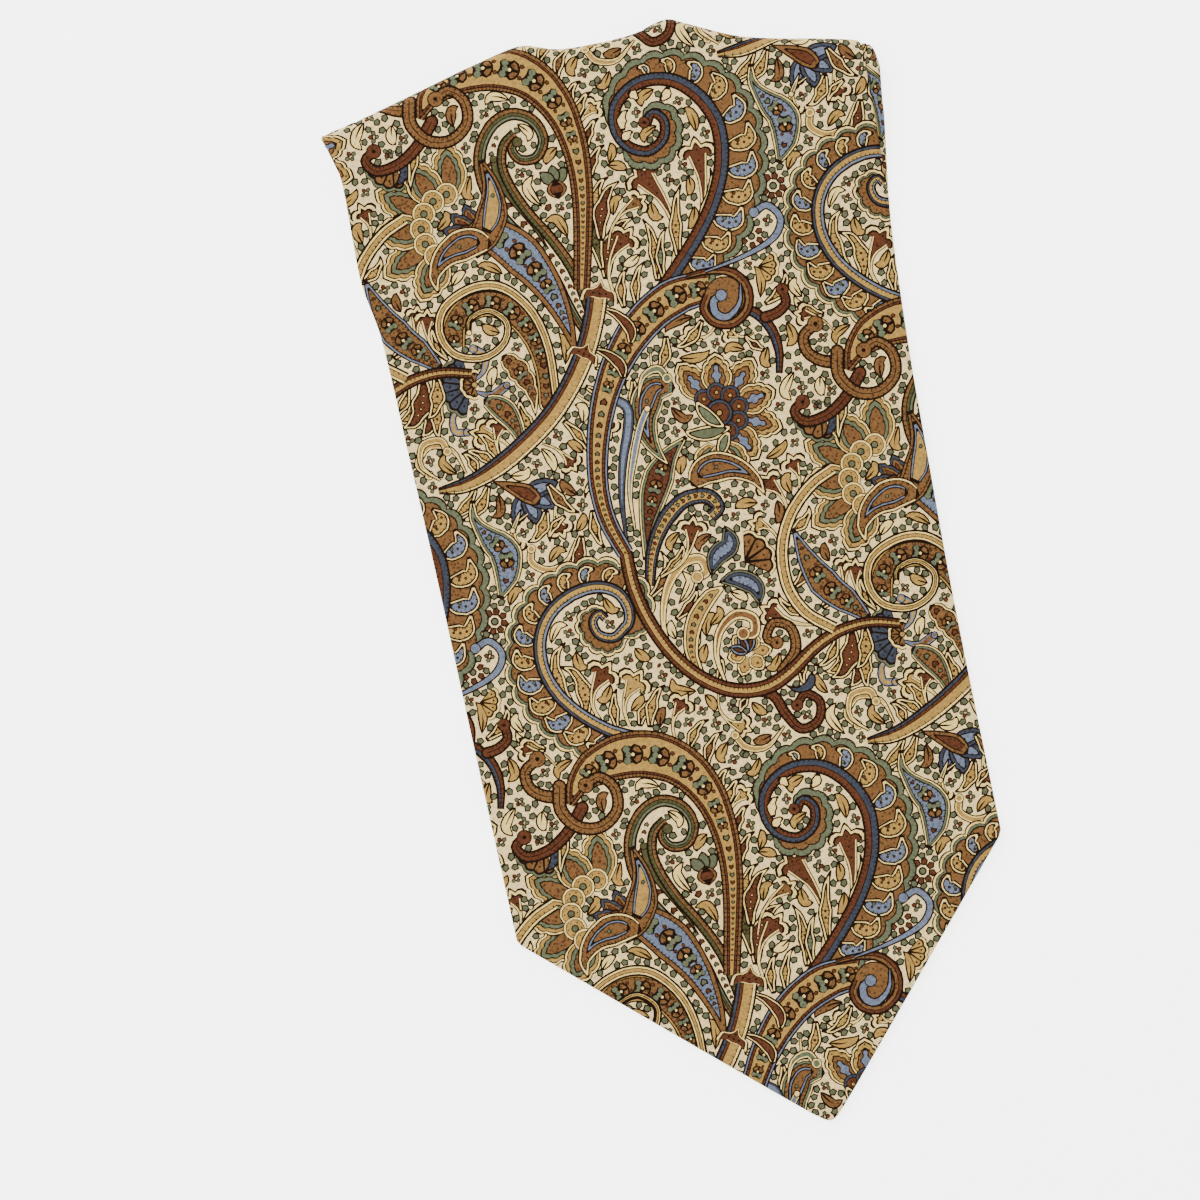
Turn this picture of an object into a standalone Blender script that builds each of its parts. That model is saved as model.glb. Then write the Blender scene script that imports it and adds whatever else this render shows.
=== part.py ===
"""A printed cotton cravat, folded in half and then folded again behind its blades.

It lies flat on its back. The pointed front blade is on top, with its tip towards -Y
and the fold, where the cloth turns under, towards +Y. The rear blade lies beneath it,
and the narrow neckband is folded back under both. Up is +Z and the surface that the
cravat rests on is Z = 0. Sizes are in millimetres until the last step.
"""

import math
from collections import namedtuple

import bmesh
import bpy
from mathutils import Vector

MM = 0.001

# --- cloth and folds ---------------------------------------------------------------
WALL = 1.0  # each visible panel, with the seam allowance inside it
REAR_WALL = 1.2  # the rear blade's two panels, pressed together
GAP = 0.3  # between neighbouring pieces
PAIR = 2 * WALL + GAP  # the front blade: face, gap, back
STACK = PAIR + GAP + REAR_WALL  # both blades lying on the surface
FOLD_HEIGHT = 8.2  # both blades turned under, at the fold
FOLD_RADIUS = FOLD_HEIGHT / 2
UNDER_FLAP = 9.0  # how far the blades run back under themselves
TIP_ROUND = 2.0

# --- the blade's outline, from the tip up ------------------------------------------
TIP_ACROSS = 2.2
LEFT_CORNER_UP = 76.8
RIGHT_CORNER_UP = 78.4
Edge = namedtuple("Edge", "up left right")
SIDE_EDGES = (
    Edge(up=77, left=-81.8, right=73.2),
    Edge(up=150, left=-82.0, right=74.2),
    Edge(up=195, left=-82.0, right=75.8),
    Edge(up=232, left=-82.4, right=77.4),
    Edge(up=270, left=-83.0, right=80.2),
    Edge(up=287, left=-85.3, right=82.5),
    Edge(up=302, left=-84.9, right=84.6),
    Edge(up=316, left=-84.4, right=86.6),
    Edge(up=325, left=-85.0, right=87.8),
    Edge(up=335, left=-88.2, right=87.9),
)

# --- where the blade turns under: a raised middle over the neckband, two shoulders ---
Fold = namedtuple("Fold", "across up")
FOLD_LINE = (
    Fold(across=-88.2, up=334.3),
    Fold(across=-58, up=341.3),
    Fold(across=-28, up=348.4),
    Fold(across=-20, up=349.2),
    Fold(across=-10, up=346.0),
    Fold(across=1, up=345.1),
    Fold(across=14, up=345.3),
    Fold(across=25, up=347.5),
    Fold(across=31, up=344.9),
    Fold(across=45, up=338.2),
    Fold(across=58, up=334.4),
    Fold(across=76, up=330.2),
    Fold(across=84, up=327.2),
    Fold(across=88, up=322.5),
)

# --- the side seam that rolls to the front at the upper right ------------------------
ROLL_WIDTH = 4.8
ROLL_STARTS_UP = 279.6
ROLL_FULL_UP = 326.0
SEAM_STEP = 0.2  # across, from the buried part of the back panel to the rolled part
LEAST_ROLL = 1.0
ROLL_COLUMNS = 3

# --- the neckband, folded behind -----------------------------------------------------
NECK_SEAM_UP = 326.0  # where the pleats are sewn into the blades
NECK_WIDTH = 72.0
NECK_LENGTH = 235.0
NECK_THICK = 3.8
NECK_LAYERS = 2
NECK_EDGE_STEPS = 4
NECK_CLEAR = 0.6  # between the neckband and the rear blade over it

# --- how the blades drape over what is under them ------------------------------------
DRAPE_ACROSS = 22.0  # beside the neckband
DRAPE_END = 30.0  # below the neckband's far end
NECK_MARGIN = 2.0
FLAP_MARGIN = 13.0
FLAP_DRAPE = 32.0  # beside the turned-under flap, on the shoulders

# --- the grid that all three walls share ---------------------------------------------
COLUMNS_EACH_SIDE = 14  # of the tip's line
ROWS_BELOW_FOLD = (0, 6, 12, 18, 24, 30, 36, 42, 50, 64, 84, 110, 140, 170, 200)
ROWS_TO_EDGE = 9
FOLD_STEPS = 8
FLAP_STEPS = 1
SHARE_STEP = 0.001  # for measuring which way the cloth faces
RUN_STEP = 0.05

Look = namedtuple("Look", "colour roughness")
LOOKS = {
    "front_blade_face": Look(colour=(0.36, 0.24, 0.12), roughness=0.85),
    "front_blade_back": Look(colour=(0.44, 0.31, 0.17), roughness=0.85),
    "rear_blade": Look(colour=(0.55, 0.47, 0.34), roughness=0.88),
    "neckband": Look(colour=(0.50, 0.40, 0.26), roughness=0.88),
}


def smooth(low, high, value):
    """0 below low, 1 above high, with an S-shaped step between."""
    t = min(max((value - low) / (high - low), 0.0), 1.0)
    return t * t * (3 - 2 * t)


def along(table, key, wanted, place):
    """A column of a table, read between its rows along a soft curve."""
    keys = [getattr(row, key) for row in table]
    values = [getattr(row, wanted) for row in table]
    place = min(max(place, keys[0]), keys[-1])
    i = max(k for k in range(len(keys) - 1) if keys[k] <= place)
    slopes = []
    for k in (i, i + 1):
        before, after = max(k - 1, 0), min(k + 1, len(keys) - 1)
        slopes.append((values[after] - values[before]) / (keys[after] - keys[before]))
    span = keys[i + 1] - keys[i]
    t = (place - keys[i]) / span
    rise = values[i + 1] - values[i]
    start, end = slopes[0] * span, slopes[1] * span
    return values[i] + t * (start + t * (3 * rise - 2 * start - end + t * (start + end - 2 * rise)))


def left_edge(up):
    return along(SIDE_EDGES, "up", "left", up)


def right_edge(up):
    return along(SIDE_EDGES, "up", "right", up)


def roll_width(up):
    """How much of the back panel shows in front of the right edge at this height."""
    share = (up - ROLL_STARTS_UP) / (ROLL_FULL_UP - ROLL_STARTS_UP)
    return ROLL_WIDTH * min(max(share, 0.0), 1.0)


def across_at(share, up):
    """From the left edge, share 0, to the right edge, share 1."""
    left = left_edge(up)
    return left + share * (right_edge(up) - left)


def tip_share():
    left = left_edge(0)
    return (TIP_ACROSS - left) / (right_edge(0) - left)


def lower_edge(share):
    """Height of the pointed lower edge, with its tip a little rounded."""
    middle = tip_share()
    if share < middle:
        straight = LEFT_CORNER_UP * (middle - share) / middle
    else:
        straight = RIGHT_CORNER_UP * (share - middle) / (1 - middle)
    return math.hypot(straight, TIP_ROUND) - TIP_ROUND * 0.5


def fold_top(share):
    """Height at which this column turns under."""
    up = FOLD_LINE[0].up
    for _ in range(6):
        up = along(FOLD_LINE, "across", "up", across_at(share, up))
    return up


def lift(across, up, below_fold):
    """How far what lies underneath holds the rear blade off the surface."""
    flap = 1 - smooth(FLAP_MARGIN, FLAP_MARGIN + FLAP_DRAPE, below_fold)
    half = NECK_WIDTH / 2 + NECK_MARGIN
    neck = 1 - smooth(half, half + DRAPE_ACROSS, abs(across))
    neck_end = NECK_SEAM_UP - GAP - NECK_LENGTH - NECK_MARGIN
    neck *= smooth(neck_end - DRAPE_END, neck_end, up)
    return (FOLD_HEIGHT - STACK) * flap + (NECK_THICK + NECK_CLEAR) * neck * (1 - flap)


def outer_point(share, run):
    """The front blade's outer face: run is up the cloth, then round and under the fold."""
    turn = fold_top(share) - FOLD_RADIUS
    if run <= turn:
        across = across_at(share, run)
        return Vector((across, run, STACK + lift(across, run, turn - run)))
    angle = (run - turn) / FOLD_RADIUS
    if angle <= math.pi:
        up = turn + FOLD_RADIUS * math.sin(angle)
        return Vector((across_at(share, up), up, FOLD_RADIUS * (1 + math.cos(angle))))
    up = turn - (run - turn - math.pi * FOLD_RADIUS)
    return Vector((across_at(share, up), up, 0.0))


def cloth_point(share, run, depth):
    """A point this deep inside the outer face."""
    here = outer_point(share, run)
    side = SHARE_STEP if share < 0.5 else -SHARE_STEP
    across = (outer_point(share + side, run) - here) / side
    onward = outer_point(share, run + RUN_STEP) - here
    return here - across.cross(onward).normalized() * depth


def flap_end(share):
    """Height at which the turned-under cloth stops."""
    return min(NECK_SEAM_UP, fold_top(share) - FOLD_RADIUS - UNDER_FLAP)


def runs(share):
    """The rows of one column, from the lower edge to the end of the flap."""
    turn = fold_top(share) - FOLD_RADIUS
    low = lower_edge(share)
    last = turn - ROWS_BELOW_FOLD[-1]
    arc = math.pi * FOLD_RADIUS
    flap = turn - flap_end(share)
    rows = [low + (last - low) * k / ROWS_TO_EDGE for k in range(ROWS_TO_EDGE)]
    rows += [turn - below for below in reversed(ROWS_BELOW_FOLD)]
    rows += [turn + arc * k / FOLD_STEPS for k in range(1, FOLD_STEPS + 1)]
    rows += [turn + arc + flap * k / FLAP_STEPS for k in range(1, FLAP_STEPS + 1)]
    return rows


def even_shares():
    """Columns spread over the blade, with one on the tip's line."""
    middle = tip_share()
    n = COLUMNS_EACH_SIDE
    left = [middle * k / n for k in range(n)]
    return left + [middle + (1 - middle) * k / n for k in range(n + 1)]


SHARES = even_shares()


def share_of(across, up):
    left = left_edge(up)
    return (across - left) / (right_edge(up) - left)


def face_share(column, up):
    """The face panel stops short of the rolled seam."""
    roll = roll_width(up)
    stop = right_edge(up) - roll - GAP * smooth(0, GAP, roll)
    return SHARES[column] * share_of(stop, up)


def back_share(column, up):
    """The back panel's last columns are its rolled part, from the seam to the edge."""
    seam = right_edge(up) - max(roll_width(up), LEAST_ROLL)
    if column < len(SHARES):
        return SHARES[column] * share_of(seam, up)
    seam += SEAM_STEP
    rolled = (column - len(SHARES)) / (ROLL_COLUMNS - 1)
    return share_of(seam + rolled * (right_edge(up) - seam), up)


def rear_share(column, up):
    """The rear blade shares the back panel's columns, and ends at the edge."""
    return back_share(column, up) if column < len(SHARES) else 1.0


def grid_place(share_at, column, row):
    """Share, run and height of one point of a panel's grid."""
    share = share_at(column, NECK_SEAM_UP)
    for _ in range(4):
        run = runs(share)[row]
        up = outer_point(share, run).y
        share = share_at(column, up)
    return share, runs(share)[row], up


def panel_wall(share_at, columns, depth, thickness, rise=None):
    """A closed wall whose columns go up the blade, over the fold and back under it.

    Its outer side is this deep in the stack, less rise where that is given."""
    rows = len(runs(SHARES[0]))
    bm = bmesh.new()
    bmesh.ops.create_grid(bm, x_segments=columns - 1, y_segments=rows - 1, size=1)
    inside = bm.verts.layers.int.new("inside")
    walled = bmesh.ops.extrude_face_region(bm, geom=list(bm.faces), use_keep_orig=True)
    for item in walled["geom"]:
        if isinstance(item, bmesh.types.BMVert):
            item[inside] = 1
    for vertex in bm.verts:
        column = round((vertex.co.x + 1) / 2 * (columns - 1))
        row = round((vertex.co.y + 1) / 2 * (rows - 1))
        share, run, up = grid_place(share_at, column, row)
        if vertex[inside]:
            deep = depth + thickness
        else:
            deep = depth - (rise(column, up) if rise else 0)
        vertex.co = cloth_point(share, run, deep)
    bmesh.ops.recalc_face_normals(bm, faces=bm.faces)
    return bm


def add_object(name, bm):
    """Centres the mesh on its box in metres, and gives it its own material."""
    bmesh.ops.translate(bm, verts=bm.verts, vec=-BOX_CENTRE)
    bmesh.ops.scale(bm, verts=bm.verts, vec=(MM, MM, MM))
    mesh = bpy.data.meshes.new(name)
    bm.to_mesh(mesh)
    bm.free()
    thing = bpy.data.objects.new(name, mesh)
    bpy.data.collections["cravat"].objects.link(thing)
    material = bpy.data.materials.new(name)
    material.use_nodes = True
    shader = material.node_tree.nodes["Principled BSDF"]
    shader.inputs["Base Color"].default_value = (*LOOKS[name].colour, 1)
    shader.inputs["Roughness"].default_value = LOOKS[name].roughness
    mesh.materials.append(material)


def roll_rise(column, up):
    """The rolled part of the back panel comes up level with the face panel."""
    if column < len(SHARES):
        return 0
    return (WALL + GAP) * smooth(LEAST_ROLL, 2 * LEAST_ROLL, roll_width(up))


def build_panels():
    """The front blade's face and back, and the rear blade under them."""
    count = len(SHARES)
    add_object("front_blade_face", panel_wall(face_share, count, 0, WALL))
    back = panel_wall(back_share, count + ROLL_COLUMNS, WALL + GAP, WALL, roll_rise)
    add_object("front_blade_back", back)
    add_object("rear_blade", panel_wall(rear_share, count + 1, PAIR + GAP, REAR_WALL))


def neck_profile():
    """Half of the neckband's cross-section: a flat underside, round layers at the edge."""
    layer = NECK_THICK / NECK_LAYERS
    points = []
    for k in range(NECK_LAYERS):
        for step in range(NECK_EDGE_STEPS + 1):
            angle = math.pi * (step / NECK_EDGE_STEPS - 0.5)
            out = NECK_WIDTH / 2 - layer / 2 * (1 - math.cos(angle))
            points.append((out, layer * (k + 0.5 + math.sin(angle) / 2)))
    return [p for n, p in enumerate(points) if n == 0 or p != points[n - 1]]


def build_neckband():
    """The doubled neckband: its profile drawn out from the pleats to its far fold."""
    right = neck_profile()
    ring = right + [(-x, z) for x, z in reversed(right)]
    start = NECK_SEAM_UP - GAP
    bm = bmesh.new()
    outline = bm.faces.new([bm.verts.new((x, start, z)) for x, z in ring])
    drawn = bmesh.ops.extrude_face_region(bm, geom=[outline])
    moved = [v for v in drawn["geom"] if isinstance(v, bmesh.types.BMVert)]
    bmesh.ops.translate(bm, verts=moved, vec=(0, -NECK_LENGTH, 0))
    bmesh.ops.recalc_face_normals(bm, faces=bm.faces)
    add_object("neckband", bm)


def box_centre():
    """The middle of the footprint of the whole cravat."""
    points = [
        cloth_point(*grid_place(rear_share, column, row)[:2], 0)
        for column in range(len(SHARES) + 1)
        for row in range(len(runs(SHARES[0])))
    ]
    middle = [(min(p[k] for p in points) + max(p[k] for p in points)) / 2 for k in (0, 1)]
    return Vector((*middle, 0.0))


def clear_scene():
    for thing in list(bpy.data.objects):
        bpy.data.objects.remove(thing, do_unlink=True)


clear_scene()
BOX_CENTRE = box_centre()
collection = bpy.data.collections.new("cravat")
bpy.context.scene.collection.children.link(collection)
build_panels()
build_neckband()
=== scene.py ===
"""A printed cotton cravat, folded and laid flat: its cloth, print, sewing and light."""

import math
import random

import bpy
import numpy as np
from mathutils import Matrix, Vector
from mathutils.geometry import delaunay_2d_cdt


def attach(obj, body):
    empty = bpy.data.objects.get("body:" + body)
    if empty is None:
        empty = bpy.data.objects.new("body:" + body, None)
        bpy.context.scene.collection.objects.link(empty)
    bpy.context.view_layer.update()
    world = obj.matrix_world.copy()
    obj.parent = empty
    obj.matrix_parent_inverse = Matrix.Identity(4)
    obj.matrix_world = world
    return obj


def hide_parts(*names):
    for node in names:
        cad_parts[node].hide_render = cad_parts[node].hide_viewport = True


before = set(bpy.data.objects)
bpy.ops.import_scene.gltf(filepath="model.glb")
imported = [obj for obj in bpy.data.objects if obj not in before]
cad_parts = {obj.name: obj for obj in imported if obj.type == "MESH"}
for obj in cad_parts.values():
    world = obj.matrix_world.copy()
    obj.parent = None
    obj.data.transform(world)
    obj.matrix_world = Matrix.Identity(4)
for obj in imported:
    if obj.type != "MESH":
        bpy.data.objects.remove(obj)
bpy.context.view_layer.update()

MM = 0.001

# ==== print: drawing, in mm on the flat cloth =====
REPEAT_ACROSS = 113.7
REPEAT_UP = 218.5
SKEW = 0.0418  # the cloth is printed a little off its grain
STEP = 1.15  # between the points of a drawn line
OUTLINE = 0.5  # the engraver's dark line
FINE = 0.4
HEAVIER_OUTSIDE, HEAVIER_INSIDE = 0.14, 0.07  # how much the dark lines round layers spread
LEAST_WIDTH = 0.04  # of a layer that is still drawn

DYES = {
    "ecru": "#CFB47E",
    "cream": "#CDB26C",
    "gold": "#8E6F38",
    "tan": "#614325",
    "rust": "#4A2918",
    "brown": "#3B2215",
    "line": "#140903",
    "sage": "#50553F",
    "moss": "#3F3C22",
    "leafgreen": "#4A4D38",
    "slate": "#2F333C",
    "lavender": "#585F6E",
}
DYE_NAMES = list(DYES)
STIPPLED = {"tan": 0.6, "rust": 0.5, "gold": 0.2, "lavender": 0.3, "slate": 0.45, "moss": 0.4, "sage": 0.25}

ink = []  # (outline, dye, whether it keeps the small buds away)


def soft(points, step=STEP, closed=False):
    """A soft line through given points."""
    p = np.array(points, float)
    p = np.vstack([p[-1], p, p[:2]]) if closed else np.vstack([2 * p[0] - p[1], p, 2 * p[-1] - p[-2]])
    out = []
    for k in range(1, len(p) - 2):
        a, b, c, d = p[k - 1], p[k], p[k + 1], p[k + 2]
        n = max(int(math.ceil(np.linalg.norm(c - b) / step)), 1)
        for i in range(n):
            t = i / n
            curve = 2 * b + (c - a) * t + (2 * a - 5 * b + 4 * c - d) * t * t
            out.append(0.5 * (curve + (3 * b - a - 3 * c + d) * t ** 3))
    out.append(p[-2])
    return even(np.array(out), step)[:-1 if closed else None]


def lengths(path):
    return np.concatenate([[0], np.cumsum(np.linalg.norm(np.diff(path, axis=0), axis=1))])


def shares(path):
    """How far along its path each point lies, over 0..1."""
    s = lengths(path)
    return s / s[-1]


def read_at(s, pairs, place):
    """The pair of values, such as x and y, this far along a path."""
    return np.interp(place, s, pairs[:, 0]), np.interp(place, s, pairs[:, 1])


def even(path, step=STEP):
    s = lengths(path)
    return np.stack(read_at(s, path, np.linspace(0, s[-1], max(int(round(s[-1] / step)), 3) + 1)), 1)


def side(path):
    """Left-hand normals."""
    d = np.gradient(path, axis=0)
    d /= np.maximum(np.linalg.norm(d, axis=1, keepdims=True), 1e-9)
    return np.stack([-d[:, 1], d[:, 0]], 1)


def spine(base, tip, bend, bows, step, hooked=0.0):
    """A line from base to tip, bowed to the left by bend; bows are (place along, share of the bend)."""
    b, d = np.array(base, float), np.subtract(tip, base)
    n = np.array([-d[1], d[0]])
    return soft([b, *(b + d * place + n * bend * share for place, share in bows), b + d - n * hooked], step)


# half-widths along a spine, over 0..1
def even_width(t):
    return np.ones_like(t)


def leaf_width(t):
    return np.sin(np.pi * t) ** 0.8


def drop_width(t):
    """Round at the start, pointed at the end."""
    round_end = np.sqrt(np.clip(1 - (1 - np.clip(t / 0.36, 0, 1)) ** 2, 0, 1))
    return round_end * np.where(t < 0.36, 1, np.clip((1 - t) / 0.64, 0, 1) ** 0.85)


def bulb_width(t):
    """Pointed at the start, round at the end."""
    return drop_width(1 - t)


def lobed_width(t):
    """A leaf with a narrow foot, a full belly, a long tip and three soft lobes."""
    flame = np.interp(t, (0, 0.08, 0.3, 0.5, 0.72, 0.9, 1), (0.3, 0.5, 0.95, 1, 0.62, 0.28, 0.1))
    return flame * (1 + 0.13 * np.sin(2 * np.pi * (2.7 * t + 0.1)))


def frilled_width(t):
    """Pointed at the start, with a frilled edge."""
    return bulb_width(t) * (1 + 0.2 * (np.abs(np.sin(np.pi * 5 * t)) - 0.5))


def spiky_width(t):
    return leaf_width(t) * (1 + 0.35 * np.sin(16 * t))


def table(*rows):
    """A half-width read from a short table of (place along, half-width)."""
    places, widths = zip(*rows)
    return lambda t: np.interp(t, places, widths)


def nested(*rows):
    """Layers from the edge inwards: where each dye starts, the dye, and where the line after it starts."""
    layers = [(0, "line")]
    for start, dye, *line_after in rows:
        layers += [(start, dye), *((inset, "line") for inset in line_after)]
    return tuple(layers)


def spots(*rows):
    """Dots on a petal, (place along, place across, size, dye); one off the middle gets its twin."""
    return [(u, v * way, size, dye) for u, v, size, dye in rows for way in ((1, -1) if v else (1,))]


def heavier(k, dye):
    """How much a layer spreads: only the dark lines do, the outermost more."""
    return 0 if dye != "line" else HEAVIER_INSIDE if k else HEAVIER_OUTSIDE


def lens(path, profile, half, inset=0.0, ends=True):
    """A closed outline round a spine, moved in by inset all round."""
    s = lengths(path)
    w = profile(s / s[-1]) * half - inset
    keep = w > LEAST_WIDTH
    if ends:
        keep &= (s >= inset * 0.999) & (s <= s[-1] - inset * 0.999)
    if keep.sum() < 2:
        return None
    i = np.flatnonzero(keep)
    i = np.arange(i[0], i[-1] + 1)
    n = side(path)[i]
    w = np.maximum(w[i], 0.03)[:, None]
    parts = [path[i] + n * w]
    if w[-1] <= 0.25 * half:
        parts.append(path[i[-1:]])
    parts.append((path[i] - n * w)[::-1])
    if w[0] <= 0.25 * half:
        parts.append(path[i[:1]])
    return np.vstack(parts)


def lay(outline, dye, solid=False):
    if outline is not None and len(outline) >= 3:
        ink.append((np.asarray(outline, float), dye, solid))


def layered(path, profile, half, layers, ends=True):
    for k, (inset, dye) in enumerate(layers):
        lay(lens(path, profile, half, inset - heavier(k, dye), ends), dye, k == 0)


def at(x, y, turn, size, points):
    """A small shape set down at a place, turned and sized."""
    c, s = math.cos(turn) * size, math.sin(turn) * size
    return np.array([(x + c * a - s * b, y + s * a + c * b) for a, b in points])


def off(x, y, reach, turn):
    """The place this far from another, in a direction."""
    return x + reach * math.cos(turn), y + reach * math.sin(turn)


def dot(x, y, r, dye, n=6, turn=0.0, squash=1.0, solid=False):
    a = np.arange(n) * 2 * np.pi / n
    lay(at(x, y, turn, r, np.stack([np.cos(a), squash * np.sin(a)], 1)), dye, solid)


def dots(x, y, turn, size, points, r, dye, n=6):
    """The same dot at several places of a small shape."""
    for px, py in at(x, y, turn, size, points):
        dot(px, py, r, dye, n, turn)


def rings(x, y, *rows):
    """Round layers, each a radius and a dye."""
    for k, (r, dye) in enumerate(rows):
        dot(x, y, r, dye, 16 if r > 4 else 12 if r > 2 else 9 if r > 1 else 6, 0, 1, k == 0)


def ticks(path, offset, gap, size, width=0.44):
    """Short tapering strokes across a line, from offset towards the spine."""
    s = lengths(path)
    n = side(path)
    offset = np.broadcast_to(offset, len(path))
    for k in np.arange(gap / 2, s[-1], gap):
        (x, y), (nx, ny), o = read_at(s, path, k), read_at(s, n, k), np.interp(k, s, offset)
        if abs(o) < 0.3:
            continue
        reach = o - math.copysign(size * 1.15, o)
        cx, cy = ny * width / 2, -nx * width / 2
        ax, ay = x + nx * o, y + ny * o
        lay([(ax - cx, ay - cy), (ax + cx, ay + cy), (x + nx * reach, y + ny * reach)], "line")


def ticks_in(path, room, gap, size):
    """Ticks inwards from both edges."""
    ticks(path, room, gap, size)
    ticks(path, -room, gap, size)


# ---- small motifs
BUD = ((1.3, 0.1), (0.3, 1.05), (-1.05, 0.65), (-0.85, -0.75), (0.5, -0.95))
BUD_INSIDE = ((0.92, 0.06), (0.18, 0.7), (-0.68, 0.42), (-0.54, -0.45), (0.32, -0.58))
HEART = ((1.1, 0), (0.2, 0.95), (-0.8, 0.8), (-0.55, 0), (-0.8, -0.8), (0.2, -0.95))
HEART_INSIDE = ((0.7, 0), (0.1, 0.58), (-0.42, 0.45), (-0.3, 0), (-0.42, -0.45), (0.1, -0.58))
FLORET = ((-1.9, -0.3), (-2.2, -1.3), (-1.3, -2.1), (-0.1, -1.7), (0.7, -2.2), (1.8, -1.7), (2.4, -0.5))
FLORET_PETAL = ((0.3, 1.0), (0.8, 1.75), (1.55, 1.35), (2.0, 0.3), (1.0, 0.35))


def mirrored_shape(half):
    """A shape given up to its axis, and back down the other side."""
    return half + tuple((a, -b) for a, b in half[::-1])


def bud(x, y, turn, size=1.0, dye="leafgreen"):
    lay(at(x, y, turn, size, BUD), "line", True)
    lay(at(x, y, turn, size, BUD_INSIDE), dye)


def seed(x, y, turn, size=1.0, dye="brown"):
    dot(x, y, 0.85 * size, dye, 6, turn, 0.75, True)


def star(x, y, r, n, turn):
    for k in range(n):
        a = turn + 2 * math.pi * k / n
        bud(*off(x, y, r * 0.66, a), a, r * 0.26, "rust")
    rings(x, y, (r * 0.3, "line"), (r * 0.2, "leafgreen"))


def sprig(x, y, turn, size=1.0):
    for k, dye in ((-1, "leafgreen"), (0, "rust"), (1, "leafgreen")):
        a = turn + k * 1.25
        bud(*off(x, y, 1.2 * size, a), a, 0.8 * size, dye)
    rings(*off(x, y, -0.6 * size, turn), (0.8 * size, "line"), (0.45 * size, "leafgreen"))


def floret(x, y, turn, size=1.0):
    """A little flower: three green lobes and two rust petals round a white eye."""
    lay(at(x, y, turn, size, mirrored_shape(FLORET)), "line", True)
    dots(x, y, turn, size, ((-1.05, -1.2), (-1.05, 1.2)), 0.78 * size, "sage")
    dots(x, y, turn, size, ((-0.75, 0),), 0.66 * size, "sage")
    for way in (1, -1):
        lay(at(x, y, turn, size, [(a, b * way) for a, b in FLORET_PETAL]), "tan")
    dot(*at(x, y, turn, size, ((0.2, 0),))[0], 0.4 * size, "cream", 5)


def heart(x, y, turn, size=1.0, dye="rust"):
    lay(at(x, y, turn, size, HEART), "line", True)
    lay(at(x, y, turn, size, HEART_INSIDE), dye)


def garland(path, half, backwards=False, start=0.0):
    """Florets where a band is wide, then hearts; half is a function of the place along."""
    s = lengths(path)
    d = np.gradient(path, axis=0)
    k, odd = start, 0
    while k < s[-1]:
        room = float(half(np.array([k / s[-1]]))[0])
        if room < 0.45:
            k += 1
            continue
        (x, y), (dx, dy) = read_at(s, path, k), read_at(s, d, k)
        turn = math.atan2(dy, dx) + math.pi * backwards
        if room > 1.9:
            size = min(room / 2.3, 1.5)
            floret(x, y, turn, size)
            c, s_ = math.cos(turn), math.sin(turn)
            for way in (1, -1):
                bud(x + 2.6 * size * c + way * -s_ * size * 1.2, y + 2.6 * size * s_ + way * c * size * 1.2,
                    turn, 0.5 * size, "rust")
            k += 5.6 * size
        else:
            share, gap = (0.75, 2.1 * room) if room > 1.1 else (0.85, 2.2 * max(room, 0.75))
            heart(x, y, turn, room * share, "rust" if odd % 2 else "leafgreen")
            k += gap
        odd += 1


# ---- stems, bands and curls
def stem(path, half, stripes, taper=even_width, gap=1.4, ticked=True):
    """Parallel stripes along a path, left to right, each a share and a dye."""
    w = half * taper(shares(path))
    n = side(path)
    edge = n * (w + OUTLINE)[:, None]
    lay(np.vstack([path + edge, (path - edge)[::-1]]), "line", True)
    total = sum(share for share, _ in stripes)
    done = 0
    for share, dye in stripes:
        outer, inner = 1 - 2 * done / total, 1 - 2 * (done + share) / total
        a, b = (w * outer - 0.13)[:, None], (w * inner + 0.13)[:, None]
        lay(np.vstack([path + n * a, (path + n * b)[::-1]]), dye)
        if ticked and 2 * half * share / total > 0.9:
            from_side = w * outer if outer > 0 else w * inner
            ticks(path, from_side, gap, min(1.1 * half * share / total, 0.8))
        done += share


def curl(points, half, dye="gold", rim="cream", bulb=1.35, foot=0.3):
    """A thin curl: it grows from its foot to a round end."""
    path = soft(points, 0.95)
    eye = half * bulb
    if rim:
        layers = ((0, "line"), (0.26, rim), (max(half * 0.5, 0.5), dye))
    else:
        layers = ((0, "line"), (0.33, dye))
    layered(path, lambda t: foot + (1 - foot) * np.clip(t * 1.6, 0, 1), half, layers, False)
    middle = [(eye - 0.7, dye)] if rim and eye > 1.2 else []
    rings(*path[-1], (eye, "line"), (eye - 0.3, rim or dye), *middle)


def hook(points, half, dye="tan"):
    """A thick volute with a dark line along it and a round end."""
    path = soft(points, 1.0)
    eye = half * 1.45
    dot(*path[-1], eye, "line", 12, 0, 1, True)
    rings(*path[0], (half + OUTLINE, "line"), (half - 0.1, dye))
    stem(path, half, ((1, dye), (1, dye)), lambda t: 1 - 0.3 * t, 1.5)
    dot(*path[-1], eye - 0.35, dye, 11)
    dot(*path[-1], half * 0.4, "line", 6)


def band(path, half, layers, backwards=False, start=0.0):
    """A wide band with coloured edges and a garland inside; half is a table function in mm."""
    layered(path, half, 1.0, layers, False)
    for inset, dye in layers:
        if dye in ("rust", "tan", "brown"):
            ticks_in(path, half(shares(path)) - inset, 1.5, 0.6)
    garland(path, lambda t: (half(t) - layers[-1][0]) * 0.86, backwards, start)


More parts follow.
